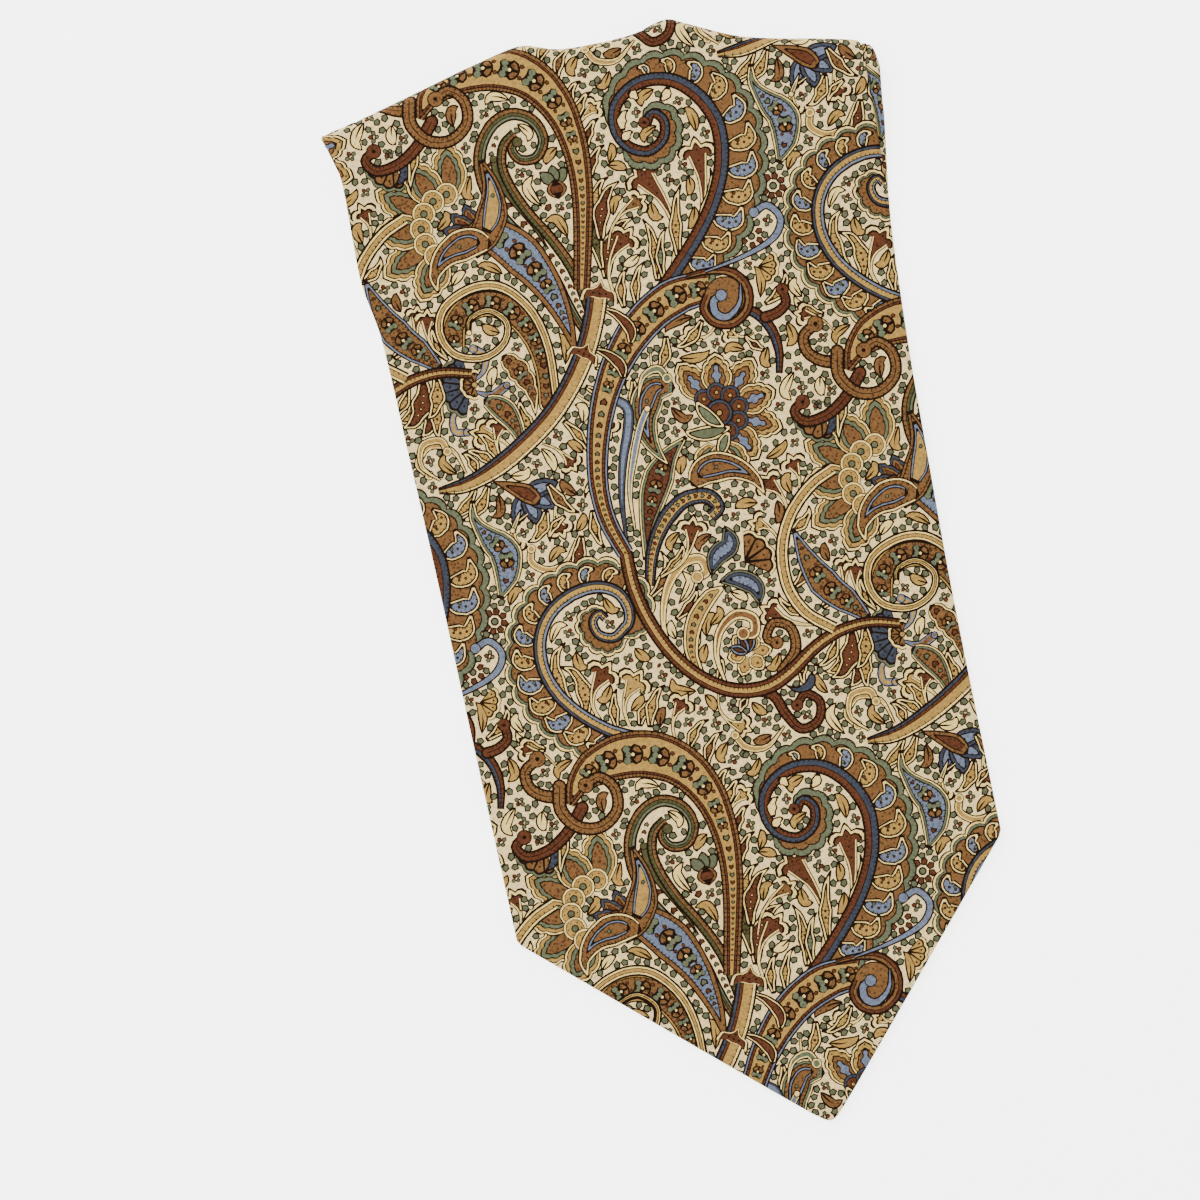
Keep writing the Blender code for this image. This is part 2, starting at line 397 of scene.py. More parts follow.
# ---- leaves
def leaf(base, tip, half, bend=0.15, dye="gold", rim="cream", profile=lobed_width, seeds=True, edge=0.5,
         hooked=0.0):
    """A leaf from base to tip, bowed to the left by bend, its tip hooked by hooked."""
    path = spine(base, tip, bend, ((0.4, 0.9), (0.8, 0.9)), 0.85, hooked)
    half += 0.15
    layers = nested((0.36, rim, 0.34 + edge), (0.7 + edge, dye)) if rim else nested((0.38, dye))
    layered(path, profile, half, layers)
    if not seeds:
        return path
    s = lengths(path)
    left = profile(s / s[-1]) * half - layers[-1][0]
    ticks_in(path, np.maximum(left, 0) * (left > 0.45), 1.3, 0.5)
    for k in np.arange(s[-1] * 0.28, s[-1] * 0.7, 2.1):
        if np.interp(k, s, left) > 0.85:
            x, y = read_at(s, path, k)
            dot(x, y, 0.5, "line", 6)
            dot(x, y, 0.24, "cream" if dye == "rust" else "rust", 4)
    return path


LIP = ((1.45, 0.35), (2.0, -0.2), (2.25, 0.35), (1.9, 1.0), (1.25, 1.25), (0.65, 1.1), (0.32, 1.75))
FLARE = table((0, 0.24), (0.35, 0.27), (0.6, 0.36), (0.8, 0.6), (1, 1.1))


def trumpet(base, tip, half, bend=0.15, dye="rust", rim="cream"):
    """A stalk that opens into a bell with two curled lips and a middle petal."""
    path = spine(base, tip, bend, ((0.35, 1), (0.7, 0.9)), 0.9)
    flare = FLARE(shares(path))
    sides = side(path)
    m, u = sides[-1], np.array([sides[-1][1], -sides[-1][0]])
    half += 0.15
    for inset, layer_dye in nested((0.32, rim, 0.75), (1.02, dye)):
        r = half - inset
        if r < 0.35:
            continue
        w = sides * np.maximum(half * flare - inset, 0.04)[:, None]
        e = path[-1] - u * inset * 0.7
        left, right = ([e + m * way * r * x + u * r * y for x, y in LIP] for way in (1, -1))
        bell = np.vstack([path + w, left, e + u * r * 2.1, right[::-1], (path - w)[::-1]])
        lay(bell, layer_dye, inset == 0)
    if half > 1.6:
        for f in (-0.5, 0.7, 1.9):
            dot(*(path[-1] - u * half * f), 0.36, "line", 5)


PETAL = ((0, 0.42), (0.12, 0.68), (0.27, 0.92), (0.42, 1.0), (0.54, 0.92), (0.58, 0.82), (0.69, 0.84),
         (0.77, 0.7), (0.8, 0.54), (0.88, 0.5), (0.94, 0.3), (1.0, 0.0))


def petal(x, y, turn, long, half, rows, spotted=()):
    """A lobed, pointed petal in nested dyes; spotted has rows of (along, across, size, dye)."""
    for k, (inset, dye) in enumerate(rows):
        if half - inset < 0.3:
            continue
        inset -= heavier(k, dye)
        near = [(inset * 0.6 + u * (long - 2.1 * inset), v * (half - inset)) for u, v in PETAL]
        lay(at(x, y, turn, 1, near + [(u, -v) for u, v in near[-2::-1]]), dye, k == 0)
    for u, v, size, dye in spotted:
        dots(x, y, turn, 1, ((u * long, v * half),), size, dye, 5)


def flower_of(x, y, petals, r_in, r_out, half, rows, first, last, spotted=()):
    """Lobed petals fanned from first to last, in degrees, each other one under its neighbours."""
    for k in (*range(0, petals, 2), *range(1, petals, 2)):
        a = math.radians(first + (last - first) * k / max(petals - 1, 1))
        long = (r_out - r_in) * (0.95 + 0.05 * math.cos(3.1 * k))
        petal(*off(x, y, r_in, a), a, long, half, rows, spotted)


def rosette(x, y, r):
    rings(x, y, (r, "line"), (r - 0.3, "slate"), (r - 1.0, "line"), (r - 1.25, "rust"),
          (0.9, "line"), (0.55, "gold"))


def fan_shell(x, y, first, last, lobes, reach, dye="slate", rim="sage", foot="gold"):
    """Wedge-shaped lobes fanned round a foot."""
    a0, a1 = math.radians(first), math.radians(last)
    for inset, layer_dye in ((0, "line"), (0.3, rim), (0.95, "line")):
        arc = [(x, y)]
        for k in range(lobes * 6 + 1):
            r = reach * (1 + 0.08 * abs(math.sin(math.pi * k / 6))) - inset
            arc.append(off(x, y, r, a0 + (a1 - a0) * k / (lobes * 6)))
        lay(arc, layer_dye, inset == 0)
    for k in range(lobes):
        b0, b1 = a0 + (a1 - a0) * (k + 0.07) / lobes, a0 + (a1 - a0) * (k + 0.93) / lobes
        middle = (b0 + b1) / 2
        lobe = [off(x, y, reach * 0.2, middle)]
        for f in (0, 0.22, 0.5, 0.78, 1):
            lobe.append(off(x, y, (reach - 1.25) * (0.95 + 0.34 * f * (1 - f)), b0 + (b1 - b0) * f))
        lay(lobe, dye)
        dot(*off(x, y, reach * 0.68, middle), 0.36, "line", 5)
    if foot:
        rings(x, y, (reach * 0.24, "line"), (reach * 0.24 - 0.3, foot))


def boteh(points, half, layers, profile=bulb_width, filled="garland", inside=None, beads=True):
    """A paisley drop: nested outlines, a row of ticks inside, and a garland or a smaller drop."""
    path = soft(points)
    layered(path, profile, half, layers)
    s = shares(path)
    room = profile(s) * half - layers[-1][0]
    if beads:
        ticks_in(path, np.maximum(room, 0) * (room > 0.8), 1.5, 0.6)
    if filled == "garland":
        garland(path, lambda t: np.interp(t, s, room) * 0.8, False, 1.5)
    elif filled == "drop":
        path = path[int(len(path) * 0.28):int(len(path) * 0.92)]
        layered(path, profile, (half - layers[-1][0]) * 0.72, inside)
        bud(*path[int(len(path) * 0.6)], 1.0, 0.7)


CREST_LEAF = table((0, 0.25), (0.2, 0.8), (0.42, 1), (0.65, 0.75), (0.85, 0.4), (1, 0.15))


def crest(path, width, way, period=7.0, ring="sage", body="tan", lip=None, ring_width=1.7, leaves=6.8,
          from_stem=2.0, first=0):
    """A scalloped crest on one side of a stem, with flame leaves rooted in the stem."""
    s = lengths(path)
    n = side(path) * way
    w = width(s / s[-1])
    outer_s = lengths(path + n * w[:, None])
    count = max(round(outer_s[-1] / period), 3)
    fine = np.linspace(0, outer_s[-1], count * 7 + 1)
    numbers = np.arange(len(path))
    k = np.interp(fine, outer_s, numbers)
    foot, out = (np.stack(read_at(numbers, of, k), 1) for of in (path, n))
    out = out / np.linalg.norm(out, axis=1, keepdims=True)
    reach = np.interp(k, numbers, w)
    scallop = np.abs(np.sin(np.pi * fine / outer_s[-1] * count)) ** 0.7 - 0.6
    reach = reach + np.minimum(0.17 * reach, 1.6) * scallop

    def moved_in(inset):
        return foot + out * np.maximum(reach - inset, 0.02)[:, None]

    lip_layers = ((0.62, "line"), (0.85, ring)) if lip else ()
    ring_layers = ((ring_width, "line"), (ring_width + FINE, body))
    for inset, dye in ((-OUTLINE, "line"), (0, lip or ring), *lip_layers, *ring_layers):
        lay(np.vstack([moved_in(inset), path[::-1]]), dye, inset < 0)
    for inset, size in ((0.6 if lip else -0.1, 0.7), (ring_width + 0.1, 0.95)):
        q = moved_in(inset)
        q_s = lengths(q)
        for d in np.arange(0.8, q_s[-1], 1.5):
            if np.interp(d, q_s, reach) < ring_width + size + 1.2:
                continue
            (x, y), (nx, ny) = read_at(q_s, q, d), read_at(q_s, out, d)
            cx, cy = ny * 0.19, nx * 0.19
            lay([(x + cx, y - cy), (x - cx, y + cy), (x - nx * size, y - ny * size)], "line")
    along_stem, j = leaves * 0.6, first
    while along_stem < s[-1] - 1:
        (x, y), (nx, ny) = read_at(s, path, along_stem), read_at(s, n, along_stem)
        room = float(np.interp(along_stem, s, w)) - ring_width - from_stem
        if room > 2.6:
            long = room * 0.94 + 0.6
            a = math.atan2(ny, nx) + way * 0.5
            root = (x + nx * (from_stem - 1), y + ny * (from_stem - 1))
            leaf(root, off(*root, long, a), min(2.9, long * 0.36), -0.24 * way, ("gold", "lavender")[j % 2],
                 hooked=0.28 * -way, profile=CREST_LEAF)
            if long > 5:
                bud(*off(*root, 0.42 * long, a - way * 0.25), a, 0.62, "leafgreen" if j % 2 else "rust")
        along_stem += leaves * (0.75 + 0.25 * min(max(room, 0) / 9, 1))
        j += 1


# ==== print: one repeat =====
GOLD_PETAL = nested((0.32, "cream", 0.85), (1.15, "gold", 2.2), (2.5, "tan"))
RICH_PETAL = nested((0.28, "cream", 0.85), (1.1, "gold", 2.0), (2.3, "sage", 3.3), (3.6, "tan"))
RICH_SPOTS = spots((0.36, 0, 0.5, "rust"), (0.5, 0.16, 0.46, "rust"), (0.62, 0, 0.42, "rust"),
                   (0.22, 0.56, 0.34, "moss"), (0.42, 0.62, 0.36, "moss"), (0.6, 0.54, 0.34, "moss"),
                   (0.86, 0, 0.34, "moss"))
GOLD_SPOTS = spots((0.3, 0.55, 0.36, "moss"), (0.5, 0.6, 0.36, "rust"), (0.68, 0.48, 0.34, "moss"),
                   (0.82, 0, 0.4, "moss"))
TAN_DROP = nested((0.28, "cream", 0.85), (1.1, "tan"))
GREEN_DROP = nested((0.28, "cream", 0.7), (0.9, "sage", 1.5), (1.75, "tan"))
GREEN_AND_BLUE_DROP = nested((0.28, "cream", 0.7), (0.9, "sage", 1.5), (1.75, "lavender"))
GREEN_AND_RUST_DROP = nested((0.28, "cream", 0.7), (0.9, "sage", 1.5), (1.75, "rust"))
BLUE_DROP = nested((0.3, "sage", 0.8), (1.0, "slate", 1.9), (2.1, "lavender"))
SMALL_DROP = nested((0.3, "lavender", 0.8), (1.1, "tan"))

SPRAYS = (
    # kind, base, tip, half-width, bend, dye
    # in the hollow of the blue and rust scroll
    (trumpet, (10, 270), (8, 300), 2.9, -0.14, "rust"),
    (trumpet, (15, 273), (25.5, 304), 2.7, -0.1, "rust"),
    (leaf, (5, 268), (4.5, 288), 1.9, -0.08, "gold"),
    (leaf, (13, 273), (18.5, 296), 1.9, 0.06, "gold"),
    (leaf, (19, 279), (28.5, 299), 1.6, -0.08, "tan"),
    (leaf, (7, 268), (11.5, 284), 1.5, 0.1, "sage"),
    # beside the garland band above the collars
    (leaf, (-10.5, 272), (2, 289), 2.7, 0.16, "rust"),
    (trumpet, (-9, 266), (-2.5, 283), 2.4, 0.16, "rust"),
    (leaf, (-11, 275), (-7.5, 296), 1.9, 0.08, "moss"),
    (leaf, (-7, 262), (-3, 274), 1.6, 0.14, "gold"),
    (leaf, (-3, 261), (2.5, 275), 1.5, 0.12, "gold"),
    (leaf, (-9.5, 292), (-3, 303), 1.7, 0.16, "gold"),
    (leaf, (-8.5, 304), (-2, 313), 1.6, 0.14, "rust"),
    (leaf, (-9.5, 284), (0, 301), 2.5, 0.14, "rust"),
    (trumpet, (-8, 281), (4, 293.5), 1.9, 0.14, "tan"),
    (trumpet, (-9.5, 316), (-3, 325), 1.7, 0.15, "gold"),
    (leaf, (-11, 325), (-5, 334), 1.6, 0.16, "gold"),
    # right of the loop
    (trumpet, (31, 246), (23.5, 247.5), 1.5, 0.15, "gold"),
    (leaf, (33, 240), (28, 246.5), 1.4, 0.1, "rust"),
    (leaf, (36, 254), (44, 263.5), 1.7, -0.2, "gold"),
    # between the loop and the gold flower
    (trumpet, (20, 251), (11, 248.5), 1.9, 0.18, "rust"),
    (leaf, (16, 253.5), (5, 247.5), 1.7, 0.18, "gold"),
    (leaf, (4, 251), (-3.5, 240), 1.8, 0.16, "gold"),
    (trumpet, (-2, 246.5), (-8.5, 236.5), 1.9, 0.16, "tan"),
    (leaf, (-9, 240), (-14, 229), 1.6, 0.12, "gold"),
    # between the trunk and the loop's band
    (leaf, (-20, 246), (-13, 247.5), 1.4, -0.12, "gold"),
    (trumpet, (-27, 238.5), (-20.5, 227), 2.1, 0.1, "rust"),
    (leaf, (-24, 241), (-17.5, 232), 1.5, 0.1, "gold"),
    (leaf, (-33, 232), (-27.5, 219), 1.6, 0.1, "gold"),
    (leaf, (-22, 215), (-31.5, 207), 1.4, -0.1, "gold"),
    (trumpet, (-41, 226.5), (-33.5, 218.5), 1.7, 0.1, "rust"),
    # left of the trunk
    (leaf, (-42, 229), (-44.5, 242), 1.9, 0.1, "gold"),
    (trumpet, (-50, 224.5), (-58.5, 233.5), 2.2, -0.14, "gold"),
    (leaf, (-46, 227), (-56, 241), 1.7, -0.2, "tan"),
    (leaf, (-56, 222), (-65.5, 229), 1.6, -0.14, "gold"),
    (leaf, (-36, 234), (-37.5, 243), 1.5, 0.1, "rust"),
    # under the trunk
    (leaf, (-60, 217.5), (-71, 208.5), 1.9, 0.16, "gold"),
    (leaf, (-64, 217.5), (-77, 211), 1.7, 0.2, "gold"),
    (trumpet, (-37, 210), (-41, 199.5), 1.9, -0.2, "rust"),
    (leaf, (-38.5, 203), (-45, 196), 1.3, -0.15, "gold"),
    # above the fan shell
    (trumpet, (-66, 259), (-70.5, 274), 1.7, 0.2, "rust"),
    (leaf, (-64, 258), (-66, 270), 1.4, 0.14, "gold"),
    # round the blue tulip
    (leaf, (-42, 214), (-34, 203), 1.9, -0.1, "tan"),
    (leaf, (-44, 206), (-52, 197.5), 2.0, 0.16, "gold"),
    (trumpet, (-50, 206), (-56.5, 198), 1.9, -0.16, "gold"),
    (leaf, (-35, 196), (-43, 186), 2.0, 0.16, "rust"),
    (leaf, (-30, 203), (-28.5, 190.5), 1.7, -0.1, "gold"),
    # beside the rope's crest
    (leaf, (-25, 182), (-33, 189), 1.7, 0.16, "gold"),
    (leaf, (-60, 133), (-68, 141), 1.8, 0.16, "gold"),
    (trumpet, (-58, 127), (-66.5, 134.5), 1.7, -0.12, "rust"),
    # right of the big stem
    (leaf, (28, 183), (36, 190), 1.7, -0.16, "gold"),
    (leaf, (26, 166), (33, 176), 1.9, -0.16, "tan"),
    (leaf, (33, 158), (40, 166), 1.8, -0.16, "gold"),
    # under the fan shell
    (leaf, (-70, 248), (-77.5, 236.5), 3.0, 0.1, "rust"),
    (leaf, (-73, 250), (-84, 243), 2.6, 0.16, "gold"),
    (leaf, (-69, 246), (-71.5, 234.5), 2.0, -0.1, "gold"),
    # in the hollow of the rope scroll
    (leaf, (-46, 139.5), (-50.5, 157.5), 2.4, -0.2, "gold"),
    (trumpet, (-41, 137), (-38, 152), 2.6, 0.2, "rust"),
    (leaf, (-49, 144), (-47, 164.5), 2.2, 0.2, "gold"),
    (trumpet, (-33, 134.5), (-29, 147.5), 2.6, 0.16, "gold"),
    (leaf, (-37, 135), (-34.5, 147), 1.6, 0.08, "gold"),
    (leaf, (-30, 134), (-24, 141.5), 1.6, 0.12, "gold"),
    (leaf, (-27, 133), (-19.5, 145), 1.9, 0.12, "gold"),
    (trumpet, (-20, 127), (-16, 138), 2.0, 0.14, "rust"),
    (leaf, (-17, 123), (-8.5, 131.5), 1.6, 0.14, "gold"),
    (leaf, (-12.5, 117), (-5, 127), 1.6, 0.14, "tan"),
    (leaf, (-9, 103), (-2.5, 111.5), 1.6, 0.14, "gold"),
    (leaf, (-7.5, 95), (-2, 103), 1.5, 0.14, "rust"),
    # beside the rope scroll
    (leaf, (-12.5, 151), (-6, 164.5), 1.7, -0.14, "rust"),
    (leaf, (-12, 164), (-3.5, 173), 1.6, -0.12, "rust"),
    (leaf, (-19, 172), (-12, 186), 1.6, -0.2, "tan"),
    (leaf, (-14, 178), (-5, 187.5), 1.8, -0.16, "gold"),
    (leaf, (-4, 142), (-1, 150.5), 1.3, -0.12, "rust"),
    # along the big stem with the volutes
    (trumpet, (-4, 139), (1, 127), 1.8, -0.2, "gold"),
    (leaf, (5, 136), (1.5, 131), 1.3, -0.1, "gold"),
    (leaf, (26, 145), (24, 135), 1.5, -0.2, "gold"),
    (leaf, (41, 149.5), (31, 136), 3.2, 0.18, "rust"),
    (leaf, (36, 148.5), (27, 141), 1.6, 0.2, "gold"),
    (leaf, (45, 149.5), (39, 137), 2.4, 0.14, "gold"),
    (trumpet, (34, 153), (17.5, 160), 2.1, 0.1, "rust"),
    (leaf, (29, 156.5), (21, 165.5), 1.5, 0.16, "gold"),
    (leaf, (58.5, 119), (53, 129.5), 1.9, -0.14, "gold"),
    (trumpet, (60, 118.5), (60.5, 130), 1.9, 0.12, "rust"),
    (leaf, (51, 116.5), (47.5, 124.5), 1.6, -0.14, "gold"),
    # by the gold arc
    (trumpet, (28.5, 187), (25.5, 199), 2.2, -0.14, "rust"),
    (trumpet, (24.5, 181), (19.5, 187.5), 1.9, -0.14, "gold"),
    (trumpet, (33, 193), (34, 203.5), 1.9, -0.12, "rust"),
    (trumpet, (49.5, 154), (46, 167.5), 1.9, 0.16, "rust"),
    (leaf, (51.5, 155), (50.5, 165), 1.4, 0.14, "gold"),
)


def sprays():
    for kind, *how in SPRAYS:
        kind(*how)


def blue_and_rust_scroll():
    path = soft([(11.8, 316.2), (14.5, 319.5), (17.6, 316.5), (16.2, 311), (10.5, 308.2), (4.5, 311.5),
                 (2.2, 318), (4.6, 325), (12.5, 329.6), (22, 328.5), (29.5, 322), (33.6, 312),
                 (32.5, 300.5), (28, 290), (21.5, 281), (13.5, 272.5), (5, 264.5), (-4, 257)])
    curled, rest = path[:int(len(path) * 0.2)], path[int(len(path) * 0.22):]
    crest(curled, table((0, 0.3), (0.25, 4.5), (0.6, 6.0), (0.9, 5), (1, 0.4)), 1, 6.2, leaves=99)
    wide = table((0, 0.5), (0.07, 4), (0.2, 8), (0.34, 12), (0.5, 14), (0.64, 14), (0.8, 12), (0.93, 7),
                 (1, 1))
    crest(rest, wide, 1, 7.2, leaves=7.4, from_stem=2.2)
    stem(path, 2.0, ((1, "slate"), (1, "rust")), table((0, 0.55), (0.25, 0.75), (0.5, 1), (1, 0.9)))
    rings(11.4, 317.2, (2.0, "line"), (1.65, "rust"), (0.6, "line"))
    for tip, foot in (((7.5, 322), (4.5, 316)), ((10.5, 324), (8.5, 327.5)), ((7.5, 315), (4, 312.5)),
                      ((17.5, 323), (21, 326.5))):
        leaf(foot, tip, 1.4, 0.2, "cream", rim=None, seeds=False)


def rope_scroll():
    outer = soft([(-30.6, 163.2), (-26.6, 166), (-25.6, 171), (-28, 176.4), (-34, 179.3), (-42, 178.6),
                  (-49.5, 174.6), (-54.4, 167.5), (-55.6, 158.5), (-53, 149.5), (-47.2, 141.5),
                  (-39, 134.5), (-30, 130)])
    inner = soft([(-33.2, 168.9), (-34.8, 171.2), (-37.4, 169), (-36.4, 164.6), (-31.8, 162.7),
                  (-27.5, 165.4)])
    crest(inner, table((0, 0.4), (0.3, 5.2), (0.7, 5.4), (1, 0.8)), -1, 4.6, lip="cream", ring_width=1.3,
          leaves=99)
    wide = table((0, 0.8), (0.05, 6.4), (0.12, 8.4), (0.3, 9.2), (0.45, 10), (0.62, 11.6), (0.8, 12),
                 (0.93, 10), (1, 7))
    crest(outer, wide, -1, 7.2, lip="cream", ring_width=1.6, leaves=6.4, first=1)
    rope = ((0.9, "lavender"), (1.8, "gold"), (0.9, "slate"))
    stem(outer, 1.75, rope, table((0, 0.75), (0.3, 1), (1, 0.95)))
    stem(inner, 1.35, rope, table((0, 0.7), (1, 1)), 1.3)


def loop_band():
    path = soft([(20.5, 262.8), (11, 262.6), (2.5, 259.5), (-5, 254.3), (-11.5, 247.5), (-17, 239.5),
                 (-21.5, 230), (-24.8, 219.5), (-26.6, 209), (-26, 198), (-22.8, 187.5)])
    wide = table((0, 5.0), (0.12, 6.1), (0.28, 5.6), (0.45, 4.4), (0.65, 3.5), (0.85, 2.9), (1, 2.6))
    band(path, wide, nested((0.33, "lavender", 0.85), (1.1, "rust", 1.8), (2.0, "gold")), True, 4)
    tail = soft([(35.8, 232), (37.3, 239), (36.2, 246.5), (32, 252.5), (26.5, 254.5)])
    stem(tail, 1.25, ((1, "slate"), (1, "rust")), table((0, 0.5), (0.4, 1), (1, 1)))
    rings(24.4, 258.8, (6.6, "line"), (6.2, "tan"))
    ring = soft([(14, 267.6), (21, 267.8), (28, 266), (31.8, 260.5), (30.6, 253.8), (25, 250.2),
                 (19.4, 251.8), (17.2, 256.6), (19.4, 260.6)])
    stem(ring, 1.15, ((1, "rust"), (1, "tan")), table((0, 0.4), (0.3, 1), (1, 0.9)), ticked=False)
    curl([(30, 262), (28.5, 256), (24, 252.6), (20.6, 254.4), (20.6, 258.2), (23.4, 259.6)], 1.35,
         "lavender", None, 1.5)
    hook([(35.4, 250), (39, 250.5), (42.6, 253), (42.4, 257.4)], 1.5, "rust")
    curl([(20, 267.8), (33, 270), (43, 273.5), (46.6, 279), (43.4, 284), (38.8, 282.6)], 1.2, "lavender",
         None, 1.5, 0.4)
    fan_shell(36.5, 266, -75, 35, 4, 6.5, "gold", "cream", None)


def arch():
    fan_shell(-67.5, 103.5, 185, 285, 4, 9, "tan", "sage", None)
    leaf((-62, 104), (-68.5, 96), 1.7, 0.1, "slate", None)
    leaf((-58, 108), (-64, 93), 1.5, -0.05, "gold")
    hook([(-53, 113), (-59, 106.4), (-66, 102.2), (-73, 101.6), (-75.8, 105.4), (-72.6, 107.8)], 1.7,
         "rust")
    hook([(-49, 123), (-55, 118.6), (-62, 118.4), (-67.4, 122), (-68, 127.6), (-63.4, 130.8)], 1.9)
    path = soft([(-56.5, 114.5), (-52.5, 120.6), (-46, 124.6), (-37, 126.2), (-27.5, 124.4), (-19, 118.4),
                 (-13.4, 108.4), (-11.2, 96), (-11.8, 83), (-14.5, 69), (-18.6, 52)])
    wide = table((0, 1.2), (0.05, 3.2), (0.12, 5.8), (0.2, 7.1), (0.3, 7.4), (0.42, 6.2), (0.55, 4.6),
                 (0.68, 3.6), (0.82, 3.0), (1, 2.6))
    band(path, wide, nested((0.33, "tan", 1.1), (1.3, "rust", 1.95), (2.15, "gold")), False, 12)
    hook([(-58.5, 121), (-59.6, 113.6), (-55.4, 107.4), (-48.4, 106), (-42.4, 110.2), (-41.8, 117),
          (-45.8, 121.4), (-50.4, 119.6)], 1.8)


HALF_CAP = ((0, 5.4), (1.1, 3.2), (3.0, 2.0), (5.6, 1.4), (6.6, -2.6), (4.6, -1.4), (2.6, -0.9))


def collar(x, y, turn, size):
    """A flared cap over a stem, with four dots on it."""
    cap = (*HALF_CAP, (0, -1.4), *((-a, b) for a, b in HALF_CAP[:0:-1]))
    for grow, dye in ((1.12, "line"), (1.03, "cream"), (0.9, "line"), (0.82, "rust")):
        lay(soft(at(x, y, turn - math.pi / 2, grow * size, cap), 0.7, True), dye, grow > 1.1)
    for place in ((0, 2.6), (-2.4, 0.6), (2.4, 0.6), (0, 0.4)):
        dot(*at(x, y, turn - math.pi / 2, size, (place,))[0], 0.4, "line", 5)


def trunk():
    for base, tip, bend in (((-16.5, 265), (-7.5, 250.5), 0.22), ((-22, 253), (-12, 240.5), 0.2)):
        leaf(base, tip, 1.9, bend, "rust", "cream", bulb_width, False, 0.4)
    path = soft([(-13.9, 269), (-16.6, 261.5), (-21, 252.5), (-28, 242.6), (-37, 233.6), (-48, 226.4),
                 (-58, 221.6), (-67, 219), (-75.6, 219)])
    narrowing = table((0, 1), (0.75, 0.92), (0.93, 0.62), (1, 0.2))
    stem(path, 3.0, ((0.8, "cream"), (2.6, "gold"), (0.9, "rust"), (0.9, "slate")), narrowing, 2.4)
    collar(-13.6, 267.8, 1.25, 0.84)
    collar(-22.4, 250.6, 0.95, 0.74)


def big_stem():
    hook([(17, 141.5), (22.4, 147), (22.4, 154), (17.4, 156.6), (14.4, 152.4), (17.2, 150.4)], 1.5, "tan")
    hook([(6, 138), (12.6, 134.6), (15.2, 128), (19, 122.6), (24.6, 124), (26.4, 129.6), (22.4, 133),
          (19.2, 130)], 1.4, "rust")
    boteh([(17, 137), (20.5, 134.6), (24.5, 135.6), (26, 139.2)], 1.5, nested((0.4, "slate")), filled=None,
          beads=False)
    path = soft([(-22.8, 188), (-22.6, 176), (-19.8, 164), (-14.8, 153), (-7.6, 144.2), (1.4, 138.6),
                 (11.4, 137.6), (20, 141), (28, 146.2), (37, 149.8), (47, 150.4), (56, 148)])
    stem(path, 2.0, ((1, "rust"), (1.5, "gold"), (1, "rust")),
         table((0, 0.9), (0.6, 1), (0.85, 0.75), (1, 0.6)))
    arc = soft([(46, 199.5), (38, 196), (30, 188.6), (25, 178.6), (24.2, 167), (28, 157.6), (35.6, 150.8)])
    stem(arc, 1.65, ((0.8, "cream"), (1.6, "gold"), (0.8, "cream")), gap=1.7)


def palmette():
    x, y = -53.0, 298.0
    flower_of(x, y, 6, 9.5, 27.5, 5.9, RICH_PETAL, 84, 232, RICH_SPOTS)
    for k in range(6):
        px, py = off(x, y, 10.6, math.radians(92 + 130 * k / 5))
        rings(px, py, (3.9, "line"), (3.6, "cream"), (3.05, "line"), (2.8, "gold"), (1.3, "line"),
              (0.95, "leafgreen"))
        for j in range(6):
            dot(*off(px, py, 2.05, math.pi * j / 3), 0.3, "line", 4)
    blue = nested((0.3, "slate", 0.95), (1.15, "tan", 1.9), (2.1, "rust"))
    for turn in (98, 212, 126, 184, 155):
        a = math.radians(turn)
        petal(*off(x + 6, y - 4.4, -2.4, a), a, 13.5, 3.2, blue,
              spots((0.3, 0, 0.4, "line"), (0.5, 0, 0.4, "line")))
    rings(x + 3, y - 3, (3.3, "line"), (2.9, "rust"), (1.2, "line"), (0.8, "gold"))


def feather():
    left = [(-20, 256), (-23.4, 266), (-26.4, 277), (-32, 288), (-38.2, 298.5), (-41.4, 309),
            (-40.6, 318.5), (-35.6, 326), (-28.6, 328.6), (-22.4, 325.4), (-20.2, 319), (-23.4, 313.8),
            (-28.6, 314), (-30.6, 318), (-28, 320.4)]
    right = [(-17.4, 258), (-18.4, 268), (-20.4, 278.5), (-25, 289), (-30, 298), (-33.4, 306.5),
             (-34.6, 313.5), (-32.8, 319.6), (-28.6, 322.6)]
    right_edge_of_it = soft(right)
    lay(np.vstack([soft(left[:9]), right_edge_of_it[::-1]]), "ecru", True)
    middle = [((p[0] + q[0]) / 2, (p[1] + q[1]) / 2) for p, q in zip(left[:8], right[:8])]
    garland(soft(middle), table((0, 0.5), (0.2, 1.2), (0.6, 1.8), (0.85, 1.6), (1, 1.0)), False, 2)
    curl([(-26.5, 286), (-29, 293), (-33.5, 302), (-36.6, 309.5), (-36.8, 316)], 1.1, "moss", None, 1.2)
    stem(right_edge_of_it, 1.35, ((1, "moss"), (1, "tan")), table((0, 0.6), (0.3, 1), (1, 0.8)))
    tapered = table((0, 0.6), (0.3, 1), (0.7, 1.05), (1, 0.7))
    stem(soft(left), 1.5, ((1, "tan"), (1, "moss"), (0.8, "sage")), tapered)
    rings(-28.4, 319.6, (1.8, "line"), (1.45, "moss"))


